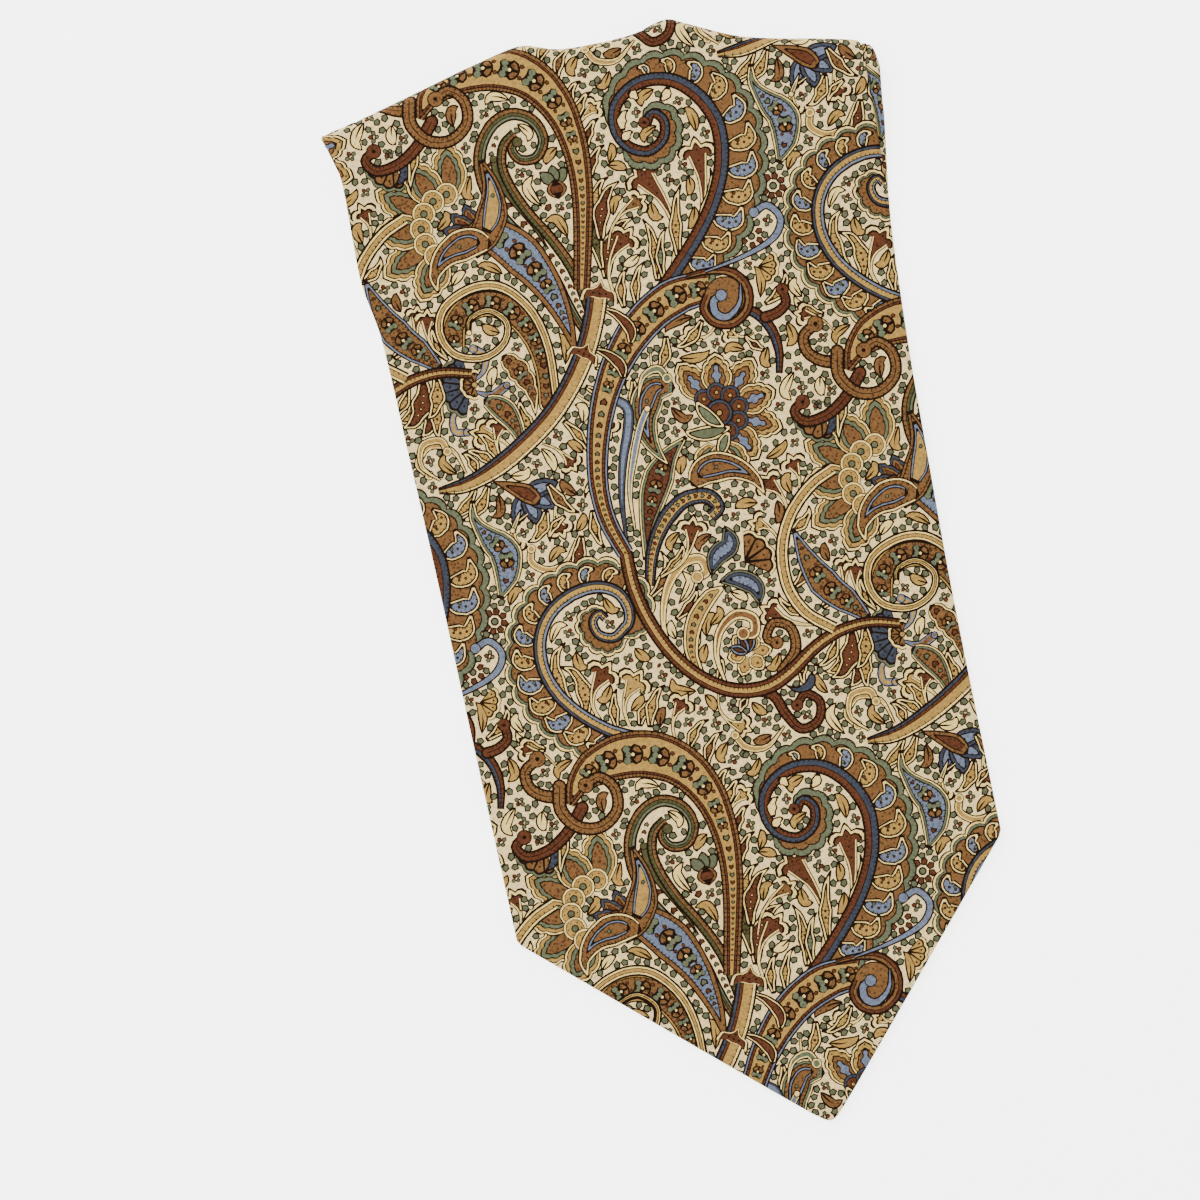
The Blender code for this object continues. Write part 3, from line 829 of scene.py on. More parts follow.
def drops():
    boteh([(-24.5, 250), (-25.6, 262), (-29.2, 275), (-36, 287), (-44.5, 294.6), (-50, 295)], 6.6,
          nested((0.33, "tan", 1.5), (1.75, "lavender")))
    boteh([(-50, 289), (-44.6, 293.6), (-40.6, 300), (-39.2, 308), (-40.6, 316.6)], 5.0,
          nested((0.28, "tan", 0.95), (1.15, "tan")),
          table((0, 0.5), (0.2, 0.95), (0.45, 1), (0.7, 0.6), (0.9, 0.3), (1, 0.15)),
          "drop", nested((0.25, "lavender", 0.7), (0.9, "gold")))
    boteh([(-62.5, 279), (-62.4, 285), (-57.5, 290.4), (-50, 292.4), (-43, 290.5)], 5.2, TAN_DROP,
          bulb_width, "drop", SMALL_DROP)
    boteh([(-66, 214), (-66.6, 208), (-63.4, 201.5), (-59.6, 196), (-60.4, 189), (-64, 182)], 5.4,
          GREEN_AND_BLUE_DROP, table((0, 0.12), (0.25, 0.4), (0.45, 0.85), (0.6, 1), (0.8, 0.75),
                                     (1, 0.15)))
    boteh([(-47.5, 223.5), (-47.4, 232), (-50.6, 239.5), (-56, 244)], 4.0, GREEN_DROP)
    boteh([(-41, 235), (-40.6, 243), (-43.4, 250.5), (-47.4, 256)], 3.6,
          nested((0.26, "cream", 0.75), (1.0, "tan")), frilled_width)
    # round the gold flower
    boteh([(-17, 184), (-13.6, 196), (-8.6, 207), (-3.4, 214), (3.4, 219)], 4.9, GREEN_AND_RUST_DROP,
          table((0, 0.2), (0.2, 0.45), (0.5, 0.95), (0.65, 1), (0.85, 0.5), (1, 0.1)))
    boteh([(-3.6, 211), (-7.6, 219), (-8, 228), (-3.4, 235.6), (3.4, 234.6)], 5.2, GREEN_DROP, bulb_width,
          "drop", SMALL_DROP)
    boteh([(23.6, 195.6), (21.4, 201.6), (15.4, 206.6), (7.6, 207.6), (1.6, 203.6)], 5.0, TAN_DROP,
          bulb_width, "drop", SMALL_DROP)
    curl([(-21.6, 192), (-20.4, 204), (-17.4, 216), (-13.8, 225), (-12.6, 231.4), (-16, 234.6),
          (-19.6, 231.6)], 1.6, "lavender", "slate", 1.4)
    curl([(-18.4, 194), (-17.4, 206), (-13.6, 217), (-9.8, 225.4), (-6.6, 230)], 1.2, "lavender", "cream",
         1.0)
    curl([(-8.6, 234), (-5.8, 240), (-0.8, 241.6), (1.4, 238)], 1.3, "sage", "cream", 1.4)
    boteh([(-67, 256), (-71.6, 262), (-77.6, 269), (-81.6, 278), (-84, 288)], 4.9,
          nested((0.28, "lavender", 0.85), (1.1, "tan")), table((0, 0.3), (0.25, 0.85), (0.5, 1),
                                                                (0.75, 0.6), (1, 0.1)))
    boteh([(-7.6, 144.6), (-9.4, 153), (-6.6, 162), (-0.4, 168.6), (5.4, 171)], 2.9,
          nested((0.3, "cream", 0.9), (1.15, "gold")), table((0, 0.35), (0.3, 0.8), (0.6, 1), (0.85, 0.8),
                                                             (1, 0.1)), beads=False)
    # the blue flourish
    boteh([(1.6, 175), (4.6, 180.5), (9.6, 183.6), (9, 189.6)], 3.5, BLUE_DROP, leaf_width, None)
    boteh([(3.4, 172.6), (9.4, 172.4), (14.4, 168.6), (14.6, 162.6)], 3.3, BLUE_DROP, leaf_width, None)
    fan_shell(12.6, 177, -35, 80, 4, 9.5, "tan", "cream", None)
    path = soft([(-17.6, 176), (-14.6, 186), (-9, 194.6), (-1.6, 199.8), (5.6, 199.6), (8.4, 195.4),
                 (5.6, 193)])
    stem(path, 2.3, ((1, "slate"), (2.2, "gold"), (0.9, "slate")),
         table((0, 0.5), (0.5, 1), (0.85, 0.9), (1, 0.7)), 1.3)
    garland(path, table((0, 0.2), (0.3, 0.9), (0.9, 1.0), (1, 0.6)), False, 3)
    trumpet((-13.6, 178), (-1, 190.5), 2.2, -0.16, "rust")


def leaves_round(x, y, reach, half, turns, dye, rim):
    for turn in turns:
        leaf((x, y), off(x, y, reach, math.radians(turn)), half, 0, dye, rim, leaf_width, False)


def gold_flower():
    x, y = 15, 224
    flower_of(x, y, 6, 6, 20.5, 5.1, GOLD_PETAL, 118, -62, GOLD_SPOTS)
    for k in range(6):
        a = math.radians(118 - 36 * k)
        layered(soft([off(x, y, r, a) for r in (8, 12, 15.4)], 0.7), spiky_width, 1.35,
                nested((0.26, "lavender")))
    for k in range(6):
        rosette(*off(x, y, 6.4, math.radians(126 - 40 * k)), 3.3)
    rings(x, y, (4.4, "line"), (4.0, "slate"), (3.3, "line"), (3.0, "rust"), (1.2, "line"), (0.8, "gold"))
    flower_of(13, 217, 3, 3, 15, 4.2, RICH_PETAL, -62, -128, RICH_SPOTS)
    leaf((18, 219), (3, 221), 2.4, 0.1, "leafgreen", "cream", leaf_width, False)
    leaf((16, 219), (9, 229.5), 2.2, 0.1, "sage", "cream", leaf_width, False)
    leaf((17, 218), (13, 210), 2.0, -0.1, "sage", "cream", leaf_width, False)


def shells_and_flowers():
    # fan shell where the big stem ends
    curl([(-58, 250), (-54, 252.5), (-52.6, 257), (-55.6, 260)], 1.3, "gold", "lavender", 1.2)
    curl([(-58, 247), (-53, 244.6), (-47.8, 246.6)], 1.4, "tan", "lavender", 0.9)
    curl([(-60, 244), (-66, 241), (-66.6, 236), (-63, 235)], 1.2, "gold", "lavender", 1.2)
    fan_shell(-58.6, 249, 95, 250, 7, 10, "slate", "sage", None)
    fan_shell(-57.6, 249, 60, 275, 6, 4.6, "tan", "cream")
    # blue tulip under the trunk
    for turn in (-120, -78, -36, 6):
        blue = nested((0.36, "slate", 1.3), (1.6, "lavender"))
        petal(-49.4, 212.6, math.radians(turn), 11, 3.0, blue, spots((0.35, 0, 0.4, "line")))
    rust = nested((0.38, "tan", 1.2), (1.5, "rust"))
    boteh([(-58.6, 218.4), (-54.4, 216), (-49, 212.4), (-45.4, 208.4)], 3.0, rust, bulb_width, None,
          beads=False)
    # the small flower and its leaves
    flower_of(8, 149, 6, 1.2, 7.6, 2.6, nested((0.25, "cream", 0.7), (0.9, "gold")), 0, 300,
              spots((0.5, 0, 0.5, "rust")))
    leaves_round(8, 149, 6.5, 1.6, (70, 110, 150), "brown", "lavender")
    # tulip in the feather's hollow
    leaves_round(-19.5, 304, 6.6, 1.8, (50, 90, 130), "leafgreen", None)
    rust = nested((0.35, "tan", 1.1), (1.35, "rust"))
    boteh([(-19.5, 306), (-19.5, 302.5), (-19.5, 299.5)], 3.2, rust, leaf_width, None, beads=False)
    star(46.5, 289.5, 4.6, 8, 0.4)
    star(36.5, 275.5, 4.2, 6, 0.4)


def gold_curl():
    path = soft([(-37, 238), (-35.2, 248), (-36, 258.4), (-40, 267), (-46.4, 272.4), (-53.6, 272.8),
                 (-59.6, 268.6), (-61.2, 261.8)])
    wide = table((0, 2.4), (0.3, 3.4), (0.55, 4.3), (0.8, 4.2), (1, 3.4))
    band(path, wide, nested((0.3, "gold", 0.8), (1.0, "tan")), True, 3)
    spiral = soft([(-56, 265.4), (-54.4, 269.4), (-48.4, 270.6), (-43.6, 265.6), (-45.8, 259.6),
                   (-53, 256.6), (-61.4, 259.4), (-64.8, 267), (-61.6, 274.6), (-52, 278.5), (-42.8, 276.6),
                   (-35.4, 267.6), (-32.6, 255), (-33.6, 238)])
    tapered = table((0, 0.45), (0.3, 0.8), (0.6, 1), (1, 0.8))
    stem(spiral, 1.3, ((1, "cream"), (1.5, "gold"), (1, "cream")), tapered, ticked=False)
    rings(-55.8, 265.2, (1.1, "line"), (0.8, "cream"))


def curls():
    for points, half, dye in (([(-66, 222.5), (-68.6, 230.4), (-75.6, 233.2), (-80, 228.6), (-77.4, 224.4)],
                               1.2, "gold"), ([(-37, 195), (-41.4, 189), (-47.6, 187.6), (-52, 191),
                                               (-51.2, 195.2)], 1.2, "gold"),
                              ([(39.5, 117.5), (34.6, 123), (36.2, 129.4), (42, 129.8), (43.4, 126)], 1.2,
                               "gold"), ([(14, 124.6), (7.4, 119.4), (1, 120.6), (-1.6, 125)], 1.15,
                                         "gold"), ([(-1, 141.5), (-2, 150), (0.6, 157.6), (6.4, 161.6),
                                                    (11.6, 159.4), (11, 154.8), (7.6, 155.4)], 1.7, "tan"),
                              ([(-15.4, 154), (-16, 164), (-12.6, 174), (-6.6, 180.4), (-0.6, 181),
                                (0.6, 176.8), (-2.6, 175.6)], 1.6, "gold"),
                              ([(62, 322), (58, 316)], 0.8, "sage"),):
        curl(points, half, dye)


def cell_motifs():
    """Every motif of one repeat, from the lowest to the topmost, in mm on the cloth."""
    for motif in (gold_flower, shells_and_flowers, sprays, curls, palmette, feather, drops, gold_curl,
                  blue_and_rust_scroll, rope_scroll, big_stem, loop_band, arch, trunk):
        motif()


# ==== print: the ground between the motifs =====
PIXEL = 0.25  # mm, for finding the open ground
FARTHEST = 4.5  # how far from the motifs distances are told apart
SQUARE = 4  # mm, of the squares that list what lies in them
CENTRE_OF_PIXEL = 0.5


def covered(shapes):
    """Where the motifs lie on one pair of columns, wrapped round."""
    wide, high = round(2 * REPEAT_ACROSS / PIXEL), round(REPEAT_UP / PIXEL)
    taken = np.zeros((high, wide), bool)
    for outline, _, solid in shapes:
        if not solid:
            continue
        for shift in ((0, 0), (REPEAT_ACROSS, -REPEAT_UP / 2)):
            p = (outline + shift) / PIXEL
            x0, y0 = np.floor(p.min(0)).astype(int)
            x1, y1 = np.ceil(p.max(0)).astype(int) + 1
            turns = np.zeros((y1 - y0 + 1, x1 - x0 + 2), int)
            for (ax, ay), (bx, by) in zip(p, np.roll(p, -1, 0)):
                low, high_end = min(ay, by) - CENTRE_OF_PIXEL, max(ay, by) - CENTRE_OF_PIXEL
                rows = np.arange(math.ceil(low), math.ceil(high_end))
                if len(rows):
                    x = ax + (rows + CENTRE_OF_PIXEL - ay) * (bx - ax) / (by - ay)
                    columns = np.ceil(x - CENTRE_OF_PIXEL).astype(int) - x0
                    np.add.at(turns, (rows - y0, columns), 1 if by > ay else -1)
            inside = np.cumsum(turns, 1) != 0
            rows = (np.arange(inside.shape[0]) + y0) % high
            columns = (np.arange(inside.shape[1]) + x0) % wide
            taken[np.ix_(rows, columns)] |= inside
    return taken


def distance_from(taken):
    """Each open pixel's distance from the nearest motif, in mm."""
    away = np.where(taken, 0.0, 99.0)
    for _ in range(int(FARTHEST / PIXEL)):
        best = away
        for dy, dx in ((0, 1), (1, 0), (1, 1), (1, -1)):
            for way in (1, -1):
                best = np.minimum(best, np.roll(away, (dy * way, dx * way), (0, 1)) + math.hypot(dx, dy))
        away = best
    return away * PIXEL


def leaf_direction(away, x, y, reach):
    """The way a small leaf fits best into the open ground round a place, and its least room."""
    high, wide = away.shape

    def room_at(px, py):
        return away[int(py / PIXEL) % high, int(px / PIXEL) % wide]

    best, room = 0.0, 0.0
    for k in range(12):
        a = math.pi * k / 12
        c, s = math.cos(a), math.sin(a)
        least = min(room_at(x + f * reach * c, y + f * reach * s) for f in (-1, -0.6, 0.6, 1))
        if least > room:
            best, room = a, least
    return best, room


def sprinkle(shapes, rng):
    """Leaves and sprigs on the widest ground, buds that lean on every outline, then buds and seeds."""
    away = distance_from(covered(shapes))
    wide, high = 2 * REPEAT_ACROSS, REPEAT_UP
    used = {}

    def keep(x, y, own):
        for a, b in ((x % wide, y % high), ((x + REPEAT_ACROSS) % wide, (y - REPEAT_UP / 2) % high)):
            used.setdefault((int(a / SQUARE), int(b / SQUARE)), []).append((a, b, own))

    def crowded(x, y, gap):
        reach = 1 + int(gap / SQUARE)
        for i in range(-reach, reach + 1):
            for j in range(-reach, reach + 1):
                square = (int(((x + SQUARE * i) % wide) / SQUARE), int(((y + SQUARE * j) % high) / SQUARE))
                for a, b, own in used.get(square, ()):
                    dx, dy = abs(a - x), abs(b - y)
                    if math.hypot(min(dx, wide - dx), min(dy, high - dy)) < (gap + own) / 2:
                        return True
        return False

    def scatter(least, most, gap, own, draw):
        """Tries every open pixel in turn; draw may turn a place down by returning False."""
        slope_up, slope_across = np.gradient(away)
        rows, columns = np.nonzero((away > least) & (away < most))
        first = columns < round(REPEAT_ACROSS / PIXEL)
        places = list(zip(rows[first].tolist(), columns[first].tolist()))
        rng.shuffle(places)
        for r, c in places:
            x, y = (c + CENTRE_OF_PIXEL) * PIXEL, (r + CENTRE_OF_PIXEL) * PIXEL
            if crowded(x, y, gap):
                continue
            if draw(x, y, math.atan2(slope_up[r, c], slope_across[r, c])) is not False:
                keep(x, y, own)

    def small_leaf(x, y, _):
        reach = rng.choice((5.6, 4.9, 4.2, 3.6))
        a, room = leaf_direction(away, x, y, reach)
        if room < 0.9:
            return False
        a += math.pi * rng.choice((0, 1))
        c, s = math.cos(a) * reach, math.sin(a) * reach
        dye = rng.choice(("gold", "gold", "cream", "tan", "gold"))
        half, bend = rng.uniform(1.6, 2.0) * 0.85, rng.choice((-0.14, 0.14))
        hooked = rng.choice((0, 0.22)) * math.copysign(1, bend)
        path = leaf((x - c, y - s), (x + c * 0.8, y + s * 0.8), half, bend, dye, None, leaf_width, False,
                    hooked=hooked)
        lay(lens(path[:len(path) * 3 // 4], drop_width, 0.3), "line")
        return True

    def small_sprig(x, y, _):
        sprig(x, y, rng.uniform(0, 6.3), rng.uniform(0.9, 1.1))

    def leaning_bud(x, y, turn):
        bud(x, y, turn + rng.choice((-1, 1)) * rng.uniform(0.5, 1.3), rng.uniform(1.1, 1.3))

    def bud_or_seed(x, y, _):
        if rng.random() < 0.75:
            bud(x, y, rng.uniform(0, 6.3), rng.uniform(1.1, 1.3),
                "leafgreen" if rng.random() < 0.8 else "rust")
        else:
            seed(x, y, rng.uniform(0, 6.3), rng.uniform(1.0, 1.3), rng.choice(("brown", "rust")))

    scatter(2.0, 9, 9.5, 8.5, small_leaf)
    away = distance_from(covered(shapes + ink))
    used.clear()
    scatter(2.3, 9, 7, 3.6, small_sprig)
    scatter(0.95, 1.35, 2.6, 2.4, leaning_bud)
    scatter(1.4, 9, 2.6, 2.45, bud_or_seed)


# ==== the cut and the form, in the part's own sizes (mm) =====
WALL = 1.0
REAR_WALL = 1.2
GAP = 0.3
PAIR = 2 * WALL + GAP  # the front blade's two panels
STACK = PAIR + GAP + REAR_WALL  # both blades
FOLD_HEIGHT = 8.2
FOLD_RADIUS = FOLD_HEIGHT / 2
UNDER_FLAP = 9.0
TIP_ROUND = 2.0
TIP_ACROSS = 2.2
LEFT_CORNER_UP = 76.8
RIGHT_CORNER_UP = 78.4
# the sides' places across, from the corners up to the fold
SIDE_UP = (77, 150, 195, 232, 270, 287, 302, 316, 325, 335)
SIDE_LEFT = (-81.8, -82.0, -82.0, -82.4, -83.0, -85.3, -84.9, -84.4, -85.0, -88.2)
SIDE_RIGHT = (73.2, 74.2, 75.8, 77.4, 80.2, 82.5, 84.6, 86.6, 87.8, 87.9)
# the uneven fold at the top
FOLD_ACROSS = (-88.2, -58, -28, -20, -10, 1, 14, 25, 31, 45, 58, 76, 84, 88)
FOLD_UP = (334.3, 341.3, 348.4, 349.2, 346.0, 345.1, 345.3, 347.5, 344.9, 338.2, 334.4, 330.2, 327.2, 322.5)
ROLL_WIDTH = 4.8
ROLL_STARTS_UP = 279.6
ROLL_FULL_UP = 326.0
NECK_SEAM_UP = 326.0
NECK_WIDTH = 72.0
NECK_LENGTH = 235.0
NECK_THICK = 3.8
NECK_CLEAR = 0.6
DRAPE_ACROSS = 22.0
DRAPE_END = 30.0
NECK_MARGIN = 2.0
FLAP_MARGIN = 13.0
FLAP_DRAPE = 32.0
CENTRE = (-0.19, 175.18)  # the shared frame's origin, seen from below the tip


def smooth(low, high, value):
    t = np.clip((value - low) / (high - low), 0, 1)
    return t * t * (3 - 2 * t)


def along(keys, values, place):
    """A table read along a soft curve, as the part's own source reads it."""
    keys, values = np.array(keys, float), np.array(values, float)
    place = np.clip(np.asarray(place, float), keys[0], keys[-1])
    i = np.clip(np.searchsorted(keys, place, side="right") - 1, 0, len(keys) - 2)

    def slope(k):
        before, after = np.maximum(k - 1, 0), np.minimum(k + 1, len(keys) - 1)
        return (values[after] - values[before]) / (keys[after] - keys[before])

    span = keys[i + 1] - keys[i]
    t = (place - keys[i]) / span
    rise = values[i + 1] - values[i]
    start, end = slope(i) * span, slope(i + 1) * span
    return values[i] + t * (start + t * (3 * rise - 2 * start - end + t * (start + end - 2 * rise)))


def unit(vectors):
    return vectors / np.maximum(np.linalg.norm(vectors, axis=1, keepdims=True), 1e-9)


def left_edge(up):
    return along(SIDE_UP, SIDE_LEFT, up)


def right_edge(up):
    return along(SIDE_UP, SIDE_RIGHT, up)


def roll_width(up):
    return ROLL_WIDTH * np.clip((up - ROLL_STARTS_UP) / (ROLL_FULL_UP - ROLL_STARTS_UP), 0, 1)


def across_at(share, up):
    return left_edge(up) + share * (right_edge(up) - left_edge(up))


def share_of(across, up):
    return (across - left_edge(up)) / (right_edge(up) - left_edge(up))


def turn_at(across):
    """Where a line up the cloth starts to turn under."""
    return along(FOLD_ACROSS, FOLD_UP, across) - FOLD_RADIUS


def lower_edge(share):
    """The pointed end, a little rounded at its tip."""
    middle = share_of(TIP_ACROSS, 0.0)
    left = LEFT_CORNER_UP * (middle - share) / middle
    right = RIGHT_CORNER_UP * (share - middle) / (1 - middle)
    return np.hypot(np.where(share < middle, left, right), TIP_ROUND) - TIP_ROUND * 0.5


def lift(across, up, below_fold):
    """How far the blades are raised by the flap at the fold and by the neckband."""
    flap = 1 - smooth(FLAP_MARGIN, FLAP_MARGIN + FLAP_DRAPE, below_fold)
    half = NECK_WIDTH / 2 + NECK_MARGIN
    neck = 1 - smooth(half, half + DRAPE_ACROSS, np.abs(across))
    neck_end = NECK_SEAM_UP - GAP - NECK_LENGTH - NECK_MARGIN
    neck = neck * smooth(neck_end - DRAPE_END, neck_end, up)
    return (FOLD_HEIGHT - STACK) * flap + (NECK_THICK + NECK_CLEAR) * neck * (1 - flap)


def outer_point(across, run):
    """Flat cloth (across, run up from the tip) laid on the stack, round the fold and under."""
    turn = turn_at(across)
    share = share_of(across, np.minimum(run, turn))
    angle = np.clip((run - turn) / FOLD_RADIUS, 0, np.pi)
    under = np.maximum(run - turn - np.pi * FOLD_RADIUS, 0)
    up = np.where(run <= turn, run, turn + FOLD_RADIUS * np.sin(angle) - under)
    flat = STACK + lift(across_at(share, up), up, turn - run)
    z = np.where(run <= turn, flat, FOLD_RADIUS * (1 + np.cos(angle)))
    return np.stack([across_at(share, up), up, z], 1)


def facing(across, run):
    """Which way the outer side faces."""
    step = 0.1
    a = outer_point(across + step, run) - outer_point(across - step, run)
    b = outer_point(across, run + step) - outer_point(across, run - step)
    return unit(np.cross(a, b))


def run_end(across):
    """Where a line up the cloth ends, past the fold and under the flap."""
    turn = turn_at(across)
    flap = turn - np.minimum(NECK_SEAM_UP, turn - UNDER_FLAP)
    return turn + np.pi * FOLD_RADIUS + flap


# ==== from the drawing to cloth =====
def dye_colour(code):
    """An sRGB hex colour as Blender's linear one."""
    value = np.array([int(code[k:k + 2], 16) for k in (1, 3, 5)]) / 255
    return np.where(value <= 0.04045, value / 12.92, ((value + 0.055) / 1.055) ** 2.4)


def printed_cell():
    """Every shape of one repeat, straightened on its grain: the buds first, then the motifs."""
    ink.clear()
    cell_motifs()
    motifs = [(outline - outline[:, :1] * (0, SKEW), dye, solid) for outline, dye, solid in ink]
    ink.clear()
    sprinkle(motifs, random.Random(7))
    return list(ink), motifs


def laid_out(cell, low, high):
    """The repeat set over a stretch of cloth, half-dropped from column to column."""
    out = []
    for group in cell:
        for outline, dye, _ in group:
            code = DYE_NAMES.index(dye)
            outline = outline + outline[:, :1] * (0, SKEW)
            lowest, highest = outline.min(0), outline.max(0)
            first = math.ceil((low[0] - highest[0]) / REPEAT_ACROSS)
            last = math.floor((high[0] - lowest[0]) / REPEAT_ACROSS)
            for i in range(first, last + 1):
                drop = i * (SKEW * REPEAT_ACROSS - REPEAT_UP / 2)
                lower = math.ceil((low[1] - highest[1] - drop) / REPEAT_UP)
                upper = math.floor((high[1] - lowest[1] - drop) / REPEAT_UP)
                for j in range(lower, upper + 1):
                    out.append((outline + (i * REPEAT_ACROSS, j * REPEAT_UP + drop), code))
    return out


JOIN_WITHIN = 1e-4  # mm between points that count as one
VOTERS = 5  # the largest triangles of a patch, which choose its dye


def ring_edges(first, count):
    return [(first + k, first + (k + 1) % count) for k in range(count)]


def joined(points, edges):
    """Triangles through all points and edges, and which of their edges were drawn."""
    points = [Vector(p) for p in points]
    verts, out_edges, faces, _, from_edges, _ = delaunay_2d_cdt(points, edges, [], 0, JOIN_WITHIN, True)
    verts = np.array([(v.x, v.y) for v in verts])
    tris = np.array(faces, int)
    drawn = np.array([e for e, src in zip(out_edges, from_edges) if src], int)
    return verts, tris, drawn


def edge_key(a, b, count):
    return np.minimum(a, b).astype(np.int64) * count + np.maximum(a, b)


def patches(tris, drawn, count):
    """Numbers the patches of triangles that no drawn edge parts, and pairs the neighbours.

    Gives each triangle's patch number, the two triangles of each pair, and the key of the edge between.
    """
    a = tris.ravel()
    b = np.roll(tris, -1, 1).ravel()
    keys = edge_key(a, b, count)
    owner = np.repeat(np.arange(len(tris)), 3)
    order = np.argsort(keys, kind="stable")
    keys, owner = keys[order], owner[order]
    same = np.flatnonzero(keys[1:] == keys[:-1])
    pair_keys = keys[same]
    one, two = owner[same], owner[same + 1]
    drawn_keys = np.sort(edge_key(drawn[:, 0], drawn[:, 1], count))
    nearest = np.clip(np.searchsorted(drawn_keys, pair_keys), 0, len(drawn_keys) - 1)
    parted = drawn_keys[nearest] == pair_keys
    label = np.arange(len(tris))
    p, q = one[~parted], two[~parted]
    while True:
        low = np.minimum(label[p], label[q])
        before = label.copy()
        np.minimum.at(label, label[p], low)
        np.minimum.at(label, label[q], low)
        label = label[label]
        label = label[label]
        if (label == before).all():
            break
    return label, one, two, pair_keys


MOST_AT_ONCE = 3000000  # tests of a point against an edge, for the sake of memory
LONGEST_THINNED = 6  # mm, of the lines that a border is thinned to


def polygon_area(outline):
    x, y = outline[:, 0], outline[:, 1]
    return abs((x * np.roll(y, -1) - y * np.roll(x, -1)).sum()) / 2


def areas(verts, tris):
    a, b, c = verts[tris[:, 0]], verts[tris[:, 1]], verts[tris[:, 2]]
    return np.abs((b[:, 0] - a[:, 0]) * (c[:, 1] - a[:, 1]) - (b[:, 1] - a[:, 1]) * (c[:, 0] - a[:, 0])) / 2


def within(points, outline):
    """Which points lie inside an outline, however it crosses itself."""
    x, y = points[:, 0:1], points[:, 1:2]
    a, b = outline, np.roll(outline, -1, 0)
    turns = np.zeros(len(points), int)
    block = max(1, MOST_AT_ONCE // len(outline))
    for k in range(0, len(points), block):
        xs, ys = x[k:k + block], y[k:k + block]
        side_of = (b[:, 0] - a[:, 0]) * (ys - a[:, 1]) - (xs - a[:, 0]) * (b[:, 1] - a[:, 1])
        rising = (a[:, 1] <= ys) & (b[:, 1] > ys) & (side_of > 0)
        falling = (a[:, 1] > ys) & (b[:, 1] <= ys) & (side_of < 0)
        turns[k:k + block] = rising.sum(1) - falling.sum(1)
    return turns != 0


def dyed(points, shapes):
    """The dye on top at each point."""
    dye = np.zeros(len(points), int)
    order = np.argsort(points[:, 1])
    sorted_points = points[order]
    for outline, colour in shapes:
        low, high = outline.min(0), outline.max(0)
        first, last = np.searchsorted(sorted_points[:, 1], (low[1], high[1]))
        x = sorted_points[first:last, 0]
        near = np.flatnonzero((x >= low[0]) & (x <= high[0])) + first
        if len(near):
            hit = near[within(sorted_points[near], outline)]
            dye[order[hit]] = colour
    return dye


def patch_dyes(verts, tris, label, shapes, outline, voters_each):
    """One dye for each patch, by the vote of its largest triangles; -1 outside the cloth."""
    area = areas(verts, tris)
    order = np.lexsort((-area, label))
    ranked = label[order]
    first = np.flatnonzero(np.append(True, ranked[1:] != ranked[:-1]))
    rank = np.arange(len(order)) - np.repeat(first, np.diff(np.append(first, len(order))))
    voters = order[rank < voters_each]
    centres = verts[tris[voters]].mean(1)
    vote = dyed(centres, shapes)
    vote[~within(centres, outline)] = -1
    votes = np.zeros((len(tris), len(DYE_NAMES) + 1))
    np.add.at(votes, (label[voters], vote + 1), area[voters])
    return votes.argmax(1)[label] - 1


def thinned(verts, edges, slack):
    """Drops the points of a line drawing that lie within slack of the line without them."""
    near = {}
    for a, b in edges:
        near.setdefault(a, set()).add(b)
        near.setdefault(b, set()).add(a)
    for _ in range(3):
        fixed = set()
        for p in list(near):
            if len(near[p]) != 2 or p in fixed:
                continue
            a, b = near[p]
            if b in near[a]:
                continue
            base = verts[b] - verts[a]
            long = math.hypot(base[0], base[1])
            from_a = verts[p] - verts[a]
            off_line = abs(base[0] * from_a[1] - base[1] * from_a[0]) / max(long, 1e-9)
            if off_line < slack and long < LONGEST_THINNED:
                near[a].discard(p)
                near[b].discard(p)
                near[a].add(b)
                near[b].add(a)
                del near[p]
                fixed.update((a, b))
    keep = sorted(near)
    number = {p: k for k, p in enumerate(keep)}
    out = [(number[a], number[b]) for a in keep for b in near[a] if a < b]
    return verts[keep], out


def print_mesh(outline, shapes, bends, slack):
    """Flat triangles of the printed cloth inside an outline, each with its dye.

    The first pass finds the borders between the dyes. They are thinned, and the second pass draws them
    again with the points where the cloth may bend.
    """
    points, edges = [outline], ring_edges(0, len(outline))
    count = len(outline)
    for shape, _ in shapes:
        edges += ring_edges(count, len(shape))
        points.append(shape)
        count += len(shape)
    verts, tris, drawn = joined(np.vstack(points), edges)
    label, one, two, keys = patches(tris, drawn, len(verts))
    dye = patch_dyes(verts, tris, label, shapes, outline, 1)
    border = keys[dye[one] != dye[two]]
    lines = np.stack([border // len(verts), border % len(verts)], 1)
    verts, edges = thinned(verts, lines.tolist(), slack)
    verts, tris, drawn = joined(np.vstack([verts, bends]), edges)
    label, _, _, _ = patches(tris, drawn.reshape(-1, 2), len(verts))
    dye = patch_dyes(verts, tris, label, shapes, outline, VOTERS)
    inside = dye >= 0
    tris, dye = tris[inside], dye[inside]
    used = np.unique(tris)
    number = np.full(len(verts), -1)
    number[used] = np.arange(len(used))
    return verts[used], number[tris], dye


# ==== cloth shells =====
EDGE_ROUND = 0.9  # a turned and pressed edge
RIM_INSETS = (0.22, 0.5, 0.9, 1.5)  # rows of points beside the edge
FOLD_BEND_UP = 322.0  # from here up the points lie closer, for the fold
FINE_SLACK = 0.11  # how far a border may stray where it shows
HIDDEN_SLACK = 0.14
HIDDEN_LEAST = 0.7  # mm2, the smallest mark drawn on what lies underneath
HIDDEN_BENDS = 7, 9, 2.2  # mm between bend points of a skin that doesn't show


def back_edge(run):
    return right_edge(run)


